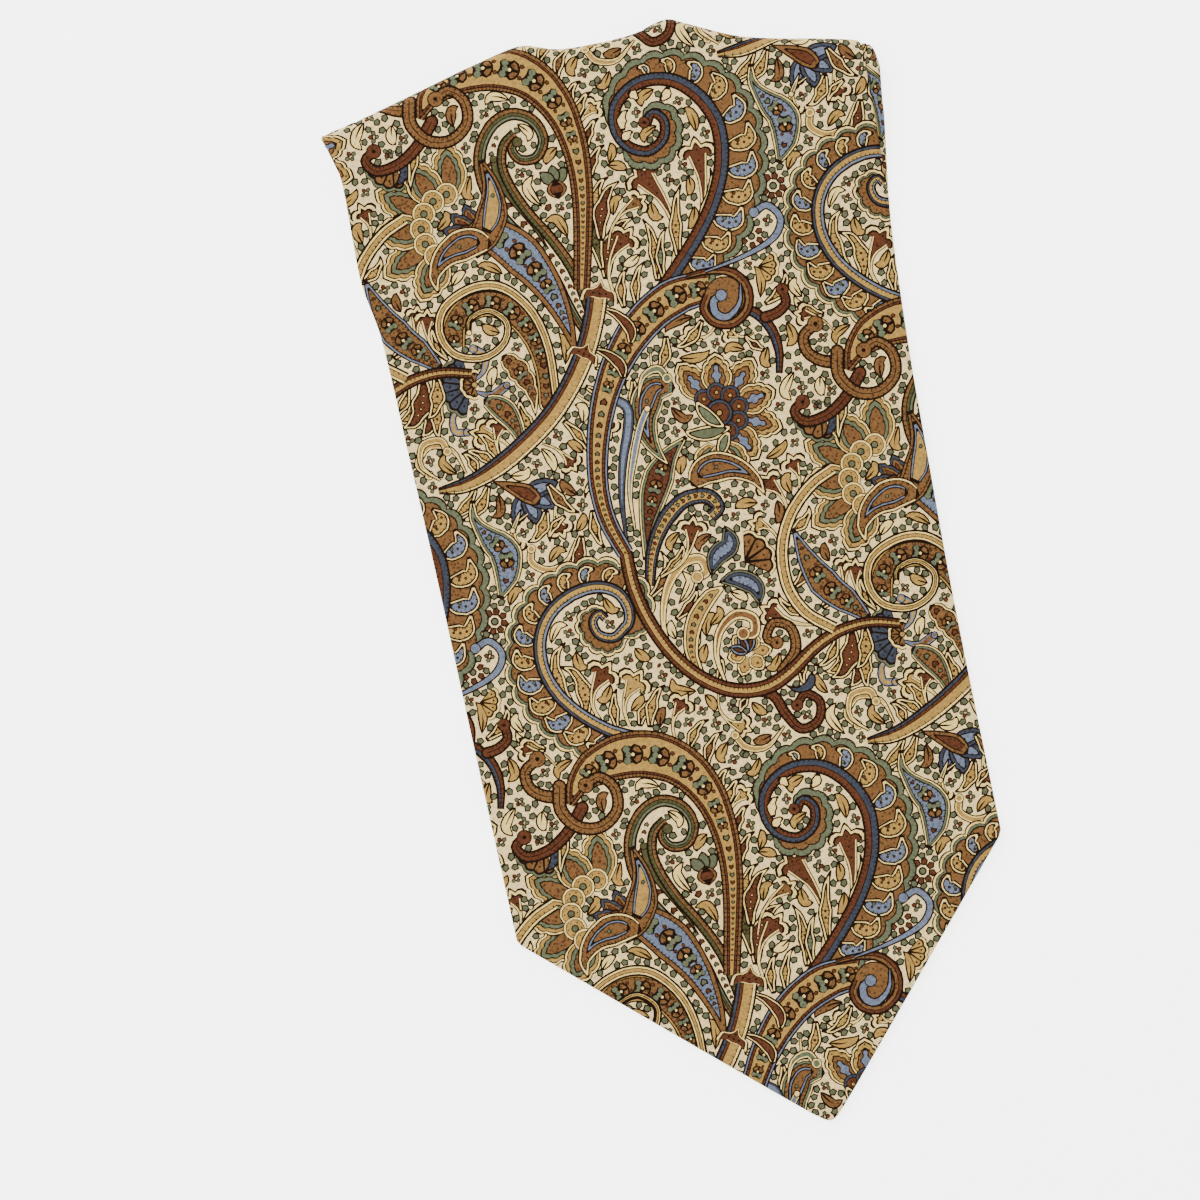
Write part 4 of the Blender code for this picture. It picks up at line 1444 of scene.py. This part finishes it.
def face_edge(run):
    """The face panel stops short of the rolled seam."""
    roll = roll_width(run)
    return right_edge(run) - roll - GAP * smooth(0, GAP, roll)


def panel_outline(right_at, pitch=1.1):
    """A panel's outline, flat: pointed lower edge, sides, and the end of its flap."""
    sides = []
    for edge, start in ((left_edge, LEFT_CORNER_UP), (right_at, RIGHT_CORNER_UP)):
        x = float(edge(330.0))
        end = float(run_end(x))
        run = np.linspace(start, end, int((end - start) / pitch))
        sides.append(np.stack([edge(np.minimum(run, turn_at(x))), run], 1))
    left, right = sides
    x = np.linspace(left[0, 0], right[0, 0], int((right[0, 0] - left[0, 0]) / pitch))[1:-1]
    low = np.stack([x, lower_edge(share_of(x, 0.0))], 1)
    x = np.linspace(left[-1, 0], right[-1, 0], len(x))[1:-1]
    end = np.stack([x, run_end(x)], 1)
    return np.vstack([low, right, end[::-1], left[::-1]])


def edge_distance(points, right_at):
    """How far a flat point lies inside the panel's sides and lower edge."""
    x, run = points[:, 0], points[:, 1]
    held = np.minimum(run, turn_at(x))
    slope_left = LEFT_CORNER_UP / (TIP_ACROSS - SIDE_LEFT[0])
    slope_right = RIGHT_CORNER_UP / (SIDE_RIGHT[0] - TIP_ACROSS)
    low = run - lower_edge(share_of(x, 0.0))
    low = low / np.hypot(1, np.where(x < TIP_ACROSS, slope_left, slope_right))
    return np.minimum(np.minimum(x - left_edge(held), right_at(held) - x), low)


def sag(distance, radius):
    """How far a rounded edge has dropped this far in from it."""
    t = 1 - np.clip(distance / radius, 0, 1)
    return radius * (1 - np.sqrt(1 - t * t))


def grid_points(low, high, across_step, run_step):
    """Rows of points, set over from row to row."""
    x, run = np.meshgrid(np.arange(low[0], high[0], across_step), np.arange(low[1], high[1], run_step))
    x = x + (np.arange(len(x)) % 2)[:, None] * across_step / 2
    return np.stack([x, run], -1).reshape(-1, 2)


def well_inside(points, outline, right_at, from_edge, from_end):
    """The points that lie inside a panel, this far from its edge and from its flap's end."""
    points = points[within(points, outline)]
    points = points[edge_distance(points, right_at) > from_edge]
    return points[run_end(points[:, 0]) - points[:, 1] > from_end]


def bend_points(outline, right_at, across_step, run_step, fold_step, beside=True):
    """Points that let the flat cloth bend: beside the edges, over the panel and round the fold."""
    low, high = outline.min(0), outline.max(0)
    inner = np.vstack([
        grid_points(low, (high[0], FOLD_BEND_UP), across_step, run_step),
        grid_points((low[0], FOLD_BEND_UP), high, across_step, fold_step),
    ])
    inner = well_inside(inner, outline, right_at, 1.7, 0.5)
    if not beside:
        return inner
    inwards = np.roll(outline, 1, 0) - np.roll(outline, -1, 0)
    inwards = np.stack([inwards[:, 1], -inwards[:, 0]], 1)
    inwards /= np.linalg.norm(inwards, axis=1, keepdims=True)
    # every point of the outline near the edge, and every other one farther in
    rim = [(outline + inwards * inset)[k % 2::1 + (inset > 0.6)] for k, inset in enumerate(RIM_INSETS)]
    return np.vstack([well_inside(np.vstack(rim), outline, right_at, 0.15, 0.15), inner])


def loop_of(tris, count):
    """The border of a flat mesh, in the order of its triangles."""
    a, b = tris.ravel().astype(np.int64), np.roll(tris, -1, 1).ravel().astype(np.int64)
    rim = ~np.isin(a * count + b, b * count + a)
    onward = dict(zip(a[rim].tolist(), b[rim].tolist()))
    ring = [next(iter(onward))]
    while onward[ring[-1]] != ring[0]:
        ring.append(onward[ring[-1]])
    return np.array(ring)


def owners(tris, ring, count):
    """The triangle behind each edge of a border."""
    keys = tris.ravel().astype(np.int64) * count + np.roll(tris, -1, 1).ravel()
    order = np.argsort(keys)
    wanted = ring.astype(np.int64) * count + np.roll(ring, -1)
    return order[np.searchsorted(keys[order], wanted)] // 3


def plain_skin(ring, bends):
    """Flat triangles inside a ring of points, which come first in the list of points."""
    points = np.vstack([ring, bends])
    vectors, edges = [Vector(p) for p in points], ring_edges(0, len(ring))
    verts, _, faces, source, _, _ = delaunay_2d_cdt(vectors, edges, [], 0, 1e-7, True)
    verts = np.array([(v.x, v.y) for v in verts])
    tris = np.array(faces, int)
    tris = tris[within(verts[tris].mean(1), ring)]
    number = np.array([s[0] if s else -1 for s in source])
    return points, number[tris]


def facing_at(place, points, sign):
    """Which way a placed skin faces at its flat points."""
    step = 0.06
    a = place(points + (step, 0)) - place(points - (step, 0))
    b = place(points + (0, step)) - place(points - (0, step))
    return unit(np.cross(a, b) * sign)


def shell(name, flat, tris, dye, printed_place, plain_place, bends, under=False):
    """Closes a printed skin with a plain skin and a rim, and makes it one piece of cloth.

    under says that the printed skin faces down. The print runs round the rim onto the plain skin.
    """
    ring = loop_of(tris, len(flat))
    back_points, back_tris = plain_skin(flat[ring], bends)
    first, n = len(flat), len(ring)
    onward = np.roll(np.arange(n), -1)
    rim = np.vstack([
        np.stack([ring, first + np.arange(n), first + onward], 1),
        np.stack([ring, first + onward, ring[onward]], 1),
    ])
    places = np.vstack([printed_place(flat), plain_place(back_points)])
    way = -1 if under else 1
    printed_facing = facing_at(printed_place, flat, way)
    plain_facing = facing_at(plain_place, back_points, -way)
    faces = np.vstack([tris, (back_tris if under else back_tris[:, ::-1]) + first, rim])
    inks = np.array([(*dye_colour(DYES[d]), STIPPLED.get(d, 0.0)) for d in DYE_NAMES])
    edge_dye = dye[owners(tris, ring, len(flat))]
    on_ring = back_tris.min(1)
    plain_dye = np.where(on_ring < n, edge_dye[np.minimum(on_ring, n - 1)], 0)
    codes = np.concatenate([dye, plain_dye, edge_dye, edge_dye])
    normals = np.vstack([printed_facing, plain_facing])
    picture = bake_places(flat, tris, back_points, back_tris, n)
    return cloth_piece(name, places, faces, inks[codes], normals, picture)


def bake_places(flat, tris, back_points, back_tris, n):
    """Where each corner lies on the piece's flat picture: print, plain skin, then the rim as a strip.

    A panel is less than half as wide as it is long, so its two skins lie side by side.
    """
    low = flat.min(0)
    size = 0.97 / max((flat.max(0) - low).max(), 1)
    print_at = (flat - low) * size + (0.005, 0.005)
    plain_at = (back_points - low) * size + (0.505, 0.005)
    u = np.arange(n) / n
    onward = (np.arange(n) + 1) / n
    low_v, high_v = np.full(n, 0.985), np.full(n, 0.995)
    strip = np.vstack([
        np.stack([u, low_v, u, high_v, onward, high_v], 1).reshape(-1, 3, 2),
        np.stack([u, low_v, onward, high_v, onward, low_v], 1).reshape(-1, 3, 2),
    ])
    return np.vstack([print_at[tris], plain_at[back_tris], strip])


def cloth_piece(name, places, faces, face_inks, normals, corner_places):
    """A mesh in metres in the shared frame, with a printed colour on each face."""
    mesh = bpy.data.meshes.new(name)
    mesh.vertices.add(len(places))
    mesh.vertices.foreach_set("co", ((places - (*CENTRE, 0)) * MM).astype(np.float32).ravel())
    mesh.loops.add(3 * len(faces))
    mesh.loops.foreach_set("vertex_index", faces.astype(np.int32).ravel())
    mesh.polygons.add(len(faces))
    mesh.polygons.foreach_set("loop_start", np.arange(0, 3 * len(faces), 3, dtype=np.int32))
    mesh.update(calc_edges=True)
    mesh.shade_smooth()
    layer = mesh.color_attributes.new("print", "FLOAT_COLOR", "CORNER")
    layer.data.foreach_set("color", np.repeat(face_inks, 3, axis=0).astype(np.float32).ravel())
    picture = mesh.uv_layers.new(name="OFBake")
    picture.data.foreach_set("uv", corner_places.astype(np.float32).ravel())
    mesh.normals_split_custom_set_from_vertices(normals.tolist())
    mesh.validate()
    piece = bpy.data.objects.new(name, mesh)
    bpy.context.scene.collection.objects.link(piece)
    return piece


def at_depth(points, depth):
    """Flat points placed this deep inside the outer face of the folded stack."""
    place = outer_point(points[:, 0], points[:, 1])
    return place - facing(points[:, 0], points[:, 1]) * np.asarray(depth)[..., None]


CREASES = (
    # across, run, heading in degrees, half-length, half-width, rise, all but the heading in mm
    # short puckers at the left edge
    (-81.5, 291, 8, 9, 1.5, -0.34),
    (-80.5, 286, 16, 7, 1.2, -0.22),
    (-82, 296.5, 2, 6, 1.5, 0.17),
    (-80, 262, -6, 5, 1.3, -0.16),
    (-79.5, 214, 4, 6, 1.4, -0.14),
    # tucks square to the lower left seam, and fewer at the lower right
    (-73, 69, 44, 8, 1.5, -0.24),
    (-61, 57.5, 52, 7, 1.3, -0.2),
    (-50, 47, 47, 9, 1.6, -0.16),
    (-31, 30.5, 50, 6, 1.2, -0.18),
    (-13, 15.5, 42, 5, 1.3, -0.14),
    (30, 32, 128, 7, 1.4, -0.16),
    (57, 62, 134, 8, 1.5, -0.18),
    # drawn lines beside the rolled edge
    (66, 321, 148, 11, 1.9, -0.24),
    (64, 308, 158, 12, 1.8, 0.16),
    (67, 296, 166, 10, 1.6, -0.2),
    # long soft bends left by folding and pressing
    (-24, 148, 84, 62, 8, 0.13),
    (34, 226, 101, 55, 9, -0.14),
    (-46, 262, 68, 34, 7, -0.12),
    (4, 312, 6, 44, 6, 0.14),
    (12, 86, 12, 30, 7, -0.12),
)


def creases(points):
    """The listed creases, in mm of height."""
    height = np.zeros(len(points))
    for across, run, heading, long, half, rise in CREASES:
        c, s = math.cos(math.radians(heading)), math.sin(math.radians(heading))
        x, y = points[:, 0] - across, points[:, 1] - run
        height += rise * np.exp(-((x * c + y * s) / long) ** 4 - ((y * c - x * s) / half) ** 2)
    return height


def wave(points):
    """The pressed cloth's slight unevenness, in mm of height."""
    x, run = points[:, 0], points[:, 1]
    return 0.10 * np.sin(x / 17 + run / 31 + 0.6) + 0.08 * np.sin(x / 9.5 - run / 23 + 2.0) - 0.1


def seam_pucker(points, from_edge):
    """The turned seam draws the cloth up a little, unevenly, within 4 mm of the edge."""
    place = points[:, 1] + 0.35 * points[:, 0]
    ripple = np.sin(0.85 * place + 1.6 * np.sin(place / 9.0)) * (0.7 + 0.3 * np.sin(place / 21.0 + 1.0))
    return 0.09 * ripple * np.exp(-(from_edge / 2.6) ** 2)


cell = printed_cell()
bold = [[mark for mark in group if polygon_area(mark[0]) > HIDDEN_LEAST] for group in cell]


# ---- the front blade's face: the printed panel on top
def face_outside(points):
    from_edge = edge_distance(points, face_edge)
    uneven = wave(points) * smooth(0, 12, from_edge) + creases(points) * smooth(0, 1.5, from_edge)
    pucker = seam_pucker(points, from_edge) * smooth(0, 0.9, from_edge)
    return at_depth(points, sag(from_edge, EDGE_ROUND) - uneven - pucker)


def face_inside(points):
    return at_depth(points, np.full(len(points), WALL))


outline = panel_outline(face_edge)
shapes = laid_out(cell, outline.min(0), outline.max(0))
flat, tris, dye = print_mesh(outline, shapes, bend_points(outline, face_edge, 3.2, 3.2, 1.7), FINE_SLACK)
bends = bend_points(outline, face_edge, *HIDDEN_BENDS, False)
face = shell("front_blade_face_cloth", flat, tris, dye, face_outside, face_inside, bends)


# ---- the front blade's back: only its rolled edge shows, with the print drawn in
ROLL_PRINT = 1.5  # the print is this much closer across the rolled edge
STRIP_LOW, STRIP_HIGH = (40, 270), (60, 365)  # the stretch of print that the rolled edge shows
STRIP_BEFORE = 2  # mm of print before the rolled edge
STEP_ACROSS = 0.5
EDGE_BAND = 1.2  # mm beside the edge that show from the side
BACK_ROUND, ROLL_ROUND = 0.45, 2.6


def back_outside(points):
    x, run = points[:, 0], points[:, 1]
    held = np.minimum(run, turn_at(x))
    roll = roll_width(held)
    up = (WALL + GAP) * smooth(1, 2, roll) * smooth(-0.1, STEP_ACROSS, x - (right_edge(held) - roll))
    from_edge = edge_distance(points, back_edge)
    rounded = sag(from_edge, BACK_ROUND) + 0.8 * sag(from_edge, ROLL_ROUND) * smooth(1, 3, roll)
    return at_depth(points, WALL + GAP - up + rounded)


def back_inside(points):
    return at_depth(points, PAIR - sag(edge_distance(points, back_edge), 0.4))


outline = panel_outline(back_edge)
strip_from = SIDE_RIGHT[5] - ROLL_WIDTH - STRIP_BEFORE
shapes = [((shape - (STRIP_LOW[0], 0)) * (1 / ROLL_PRINT, 1) + (strip_from, 0), code)
          for shape, code in laid_out(cell, STRIP_LOW, STRIP_HIGH)]
flat, tris, dye = print_mesh(outline, shapes, bend_points(outline, back_edge, 7, 7, 1.8), FINE_SLACK)
# round the rest of the edge, the band that shows from the side takes the print's dyes where it stands
centres = flat[tris].mean(1)
rolled = (centres[:, 0] > strip_from) & (centres[:, 1] > ROLL_STARTS_UP)
beside = (edge_distance(centres, back_edge) < EDGE_BAND) & ~rolled
dye[beside] = dyed(centres[beside], laid_out(bold, outline.min(0), outline.max(0)))
bends = bend_points(outline, back_edge, *HIDDEN_BENDS, False)
back = shell("front_blade_back_cloth", flat, tris, dye, back_outside, back_inside, bends)


# ---- the rear blade, printed on its underside
def rear_outside(points):
    return at_depth(points, PAIR + GAP + sag(edge_distance(points, back_edge), 0.5))


def rear_inside(points):
    return at_depth(points, STACK - sag(edge_distance(points, back_edge), 0.6))


def mirrored(points):
    return points * (-1, 1)


rear_outline = panel_outline(back_edge)
flap_end = turn_at(rear_outline[:, 0]) + np.pi * FOLD_RADIUS + UNDER_FLAP
rear_outline[:, 1] = np.minimum(rear_outline[:, 1], flap_end)
seen_from_below = mirrored(rear_outline)
shapes = laid_out(bold, seen_from_below.min(0), seen_from_below.max(0))
bends = mirrored(bend_points(rear_outline, back_edge, 5, 6, 1.8))
flat, tris, dye = print_mesh(seen_from_below[::-1], shapes, bends, HIDDEN_SLACK)
bends = bend_points(rear_outline, back_edge, *HIDDEN_BENDS, False)
rear = shell("rear_blade_cloth", mirrored(flat), tris, dye, rear_inside, rear_outside, bends, under=True)


# ---- the neckband, folded behind on the surface
NECK_ROUND = 1.4


def neck_distance(points):
    x, up = points[:, 0], points[:, 1]
    ends = np.minimum(up - (NECK_SEAM_UP - GAP - NECK_LENGTH), NECK_SEAM_UP - GAP - up)
    return np.minimum(NECK_WIDTH / 2 - np.abs(x), ends)


def neck_below(points):
    return np.column_stack([points, sag(neck_distance(points), NECK_ROUND)])


def neck_above(points):
    return np.column_stack([points, NECK_THICK - sag(neck_distance(points), NECK_ROUND)])


def box_outline(low, high, pitch):
    """A rectangle's border, anticlockwise, in even steps."""
    corners = [(low[0], low[1]), (high[0], low[1]), (high[0], high[1]), (low[0], high[1])]
    out = []
    for a, b in zip(corners, corners[1:] + corners[:1]):
        n = int(math.dist(a, b) / pitch)
        out += [(a[0] + (b[0] - a[0]) * k / n, a[1] + (b[1] - a[1]) * k / n) for k in range(n)]
    return np.array(out)


NECK_PITCH = 1.5
neck_low = np.array((-NECK_WIDTH / 2, NECK_SEAM_UP - GAP - NECK_LENGTH))
neck_high = np.array((NECK_WIDTH / 2, NECK_SEAM_UP - GAP))
neck_outline = box_outline(neck_low, neck_high, NECK_PITCH)
neck_rim = [box_outline(neck_low + inset, neck_high - inset, NECK_PITCH) for inset in (0.3, 0.7, 1.2)]
bends = np.vstack([*neck_rim, grid_points(neck_low + 2, neck_high - 2, 6, 8)])
shapes = laid_out(bold, neck_low, neck_high)
flat, tris, dye = print_mesh(neck_outline, shapes, bends, HIDDEN_SLACK)
neckband = shell("neckband_cloth", mirrored(flat), tris, dye, neck_below, neck_above, bends, under=True)


for piece, outline, below in (
    (face, panel_outline(face_edge), [back]),
    (back, panel_outline(back_edge), [rear, neckband]),
    (rear, rear_outline, []),
    (neckband, neck_outline, []),
):
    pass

for piece, node in (
    (face, "front_blade_face"),
    (back, "front_blade_back"),
    (rear, "rear_blade"),
    (neckband, "neckband"),
):
    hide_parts(node)
    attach(piece, "root")


# ==== materials =====
COLOUR_A, COLOUR_B, MIXED_COLOUR = 6, 7, 2  # the mix node's sockets for colours


def add_node(tree, kind, links=None, **settings):
    """A node with its settings, and its inputs linked or set."""
    node = tree.nodes.new(kind)
    for key, value in settings.items():
        setattr(node, key, value)
    for socket, value in (links or {}).items():
        target = node.inputs[socket]
        if isinstance(value, bpy.types.NodeSocket):
            tree.links.new(value, target)
        else:
            target.default_value = value
    return node


def printed_cotton(name):
    """Plain woven cotton lawn: matt, with the print sunk into its threads."""
    material = bpy.data.materials.new(name)
    material.use_nodes = True
    tree = material.node_tree
    shader = tree.nodes["Principled BSDF"]
    printed = add_node(tree, "ShaderNodeAttribute", attribute_name="print")
    place = add_node(tree, "ShaderNodeTexCoord").outputs["Object"]
    # the engraver's stipple in the brown and blue grounds, about 1.2 mm from dot to dot
    dots = add_node(tree, "ShaderNodeTexVoronoi", {"Vector": place, "Scale": 860, "Randomness": 0.8})
    is_dot = add_node(tree, "ShaderNodeMapRange", {
        "Value": dots.outputs["Distance"], "From Min": 0.24, "From Max": 0.4, "To Min": 1.0, "To Max": 0.0})
    stipple = add_node(tree, "ShaderNodeMath", {
        0: is_dot.outputs["Result"], 1: printed.outputs["Alpha"]}, operation="MULTIPLY")
    marked = add_node(tree, "ShaderNodeMix", {
        "Factor": stipple.outputs["Value"], COLOUR_A: printed.outputs["Color"],
        COLOUR_B: (*dye_colour(DYES["line"]), 1)}, data_type="RGBA")
    # threads take the dye unevenly: a mottle of 1 mm, drawn coarser than the real thread of 0.25 mm
    mottle = add_node(tree, "ShaderNodeTexNoise", {
        "Vector": place, "Scale": 1000, "Detail": 3.0, "Roughness": 0.6})
    shade = add_node(tree, "ShaderNodeMapRange", {
        "Value": mottle.outputs["Fac"], "From Min": 0.3, "From Max": 0.7, "To Min": 0.74, "To Max": 1.26})
    worn = add_node(tree, "ShaderNodeVectorMath", {
        0: marked.outputs[MIXED_COLOUR], "Scale": shade.outputs["Result"]}, operation="SCALE")
    tree.links.new(worn.outputs["Vector"], shader.inputs["Base Color"])
    # warp and weft, 0.8 mm apart so that they show, as a faint relief
    warp, weft = [add_node(tree, "ShaderNodeTexWave", {
        "Vector": place, "Scale": 200, "Distortion": 2.0}, bands_direction=way) for way in ("X", "Y")]
    threads = add_node(tree, "ShaderNodeMath", {
        0: warp.outputs["Fac"], 1: weft.outputs["Fac"]}, operation="ADD")
    relief = add_node(tree, "ShaderNodeMath", {
        0: threads.outputs["Value"], 1: mottle.outputs["Fac"]}, operation="ADD")
    bump = add_node(tree, "ShaderNodeBump", {
        "Height": relief.outputs["Value"], "Strength": 0.3, "Distance": 0.00012})
    tree.links.new(bump.outputs["Normal"], shader.inputs["Normal"])
    shader.inputs["Roughness"].default_value = 0.85
    shader.inputs["Specular IOR Level"].default_value = 0.06
    return material


cotton = printed_cotton("plain woven cotton lawn, screen printed")
for piece in (face, back, rear, neckband):
    piece.data.materials.append(cotton)


# ==== floor, light and camera =====
# in metres
FLOOR_SIZE, FLOOR_UP = 6, -0.00015
LAMP_SIDE = 1.6
CAMERA_UP = 1.35
PICTURE = 0.3753  # across the picture at the cravat
SENSOR = 36  # mm
PHOTO_TURN = math.radians(12.35)

bpy.ops.object.select_all(action="DESELECT")
bpy.ops.mesh.primitive_plane_add(size=FLOOR_SIZE, location=(0, 0, FLOOR_UP))
floor = bpy.context.object
floor.name = "floor"
paper = bpy.data.materials.new("white paper")
paper.use_nodes = True
# matt white, and glowing like paper on a light table
for socket, value in (("Base Color", (0.9, 0.9, 0.9, 1)), ("Roughness", 0.9),
                      ("Emission Color", (1, 1, 1, 1)), ("Emission Strength", 3.5)):
    paper.node_tree.nodes["Principled BSDF"].inputs[socket].default_value = value
floor.data.materials.append(paper)

world = bpy.data.worlds.new("soft room light")
bpy.context.scene.world = world
world.use_nodes = True
for socket, value in (("Color", (1, 1, 1, 1)), ("Strength", 1.6)):
    world.node_tree.nodes["Background"].inputs[socket].default_value = value

lamp = bpy.data.lights.new("softbox", "AREA")
lamp.shape = "RECTANGLE"
lamp.size, lamp.size_y = LAMP_SIDE, LAMP_SIDE
lamp.energy = 60
softbox = bpy.data.objects.new("softbox", lamp)
softbox.location = (-0.7, 0.9, 1.8)
softbox.rotation_euler = (-softbox.location).to_track_quat("-Z", "Y").to_euler()
bpy.context.scene.collection.objects.link(softbox)

camera = bpy.data.objects.new("camera", bpy.data.cameras.new("camera"))
bpy.context.scene.collection.objects.link(camera)
bpy.context.scene.camera = camera
camera.data.sensor_width = SENSOR
camera.data.lens = SENSOR * CAMERA_UP / PICTURE
camera.location = (-0.0335, -0.0001, CAMERA_UP)
camera.rotation_euler = (0, 0, -PHOTO_TURN)
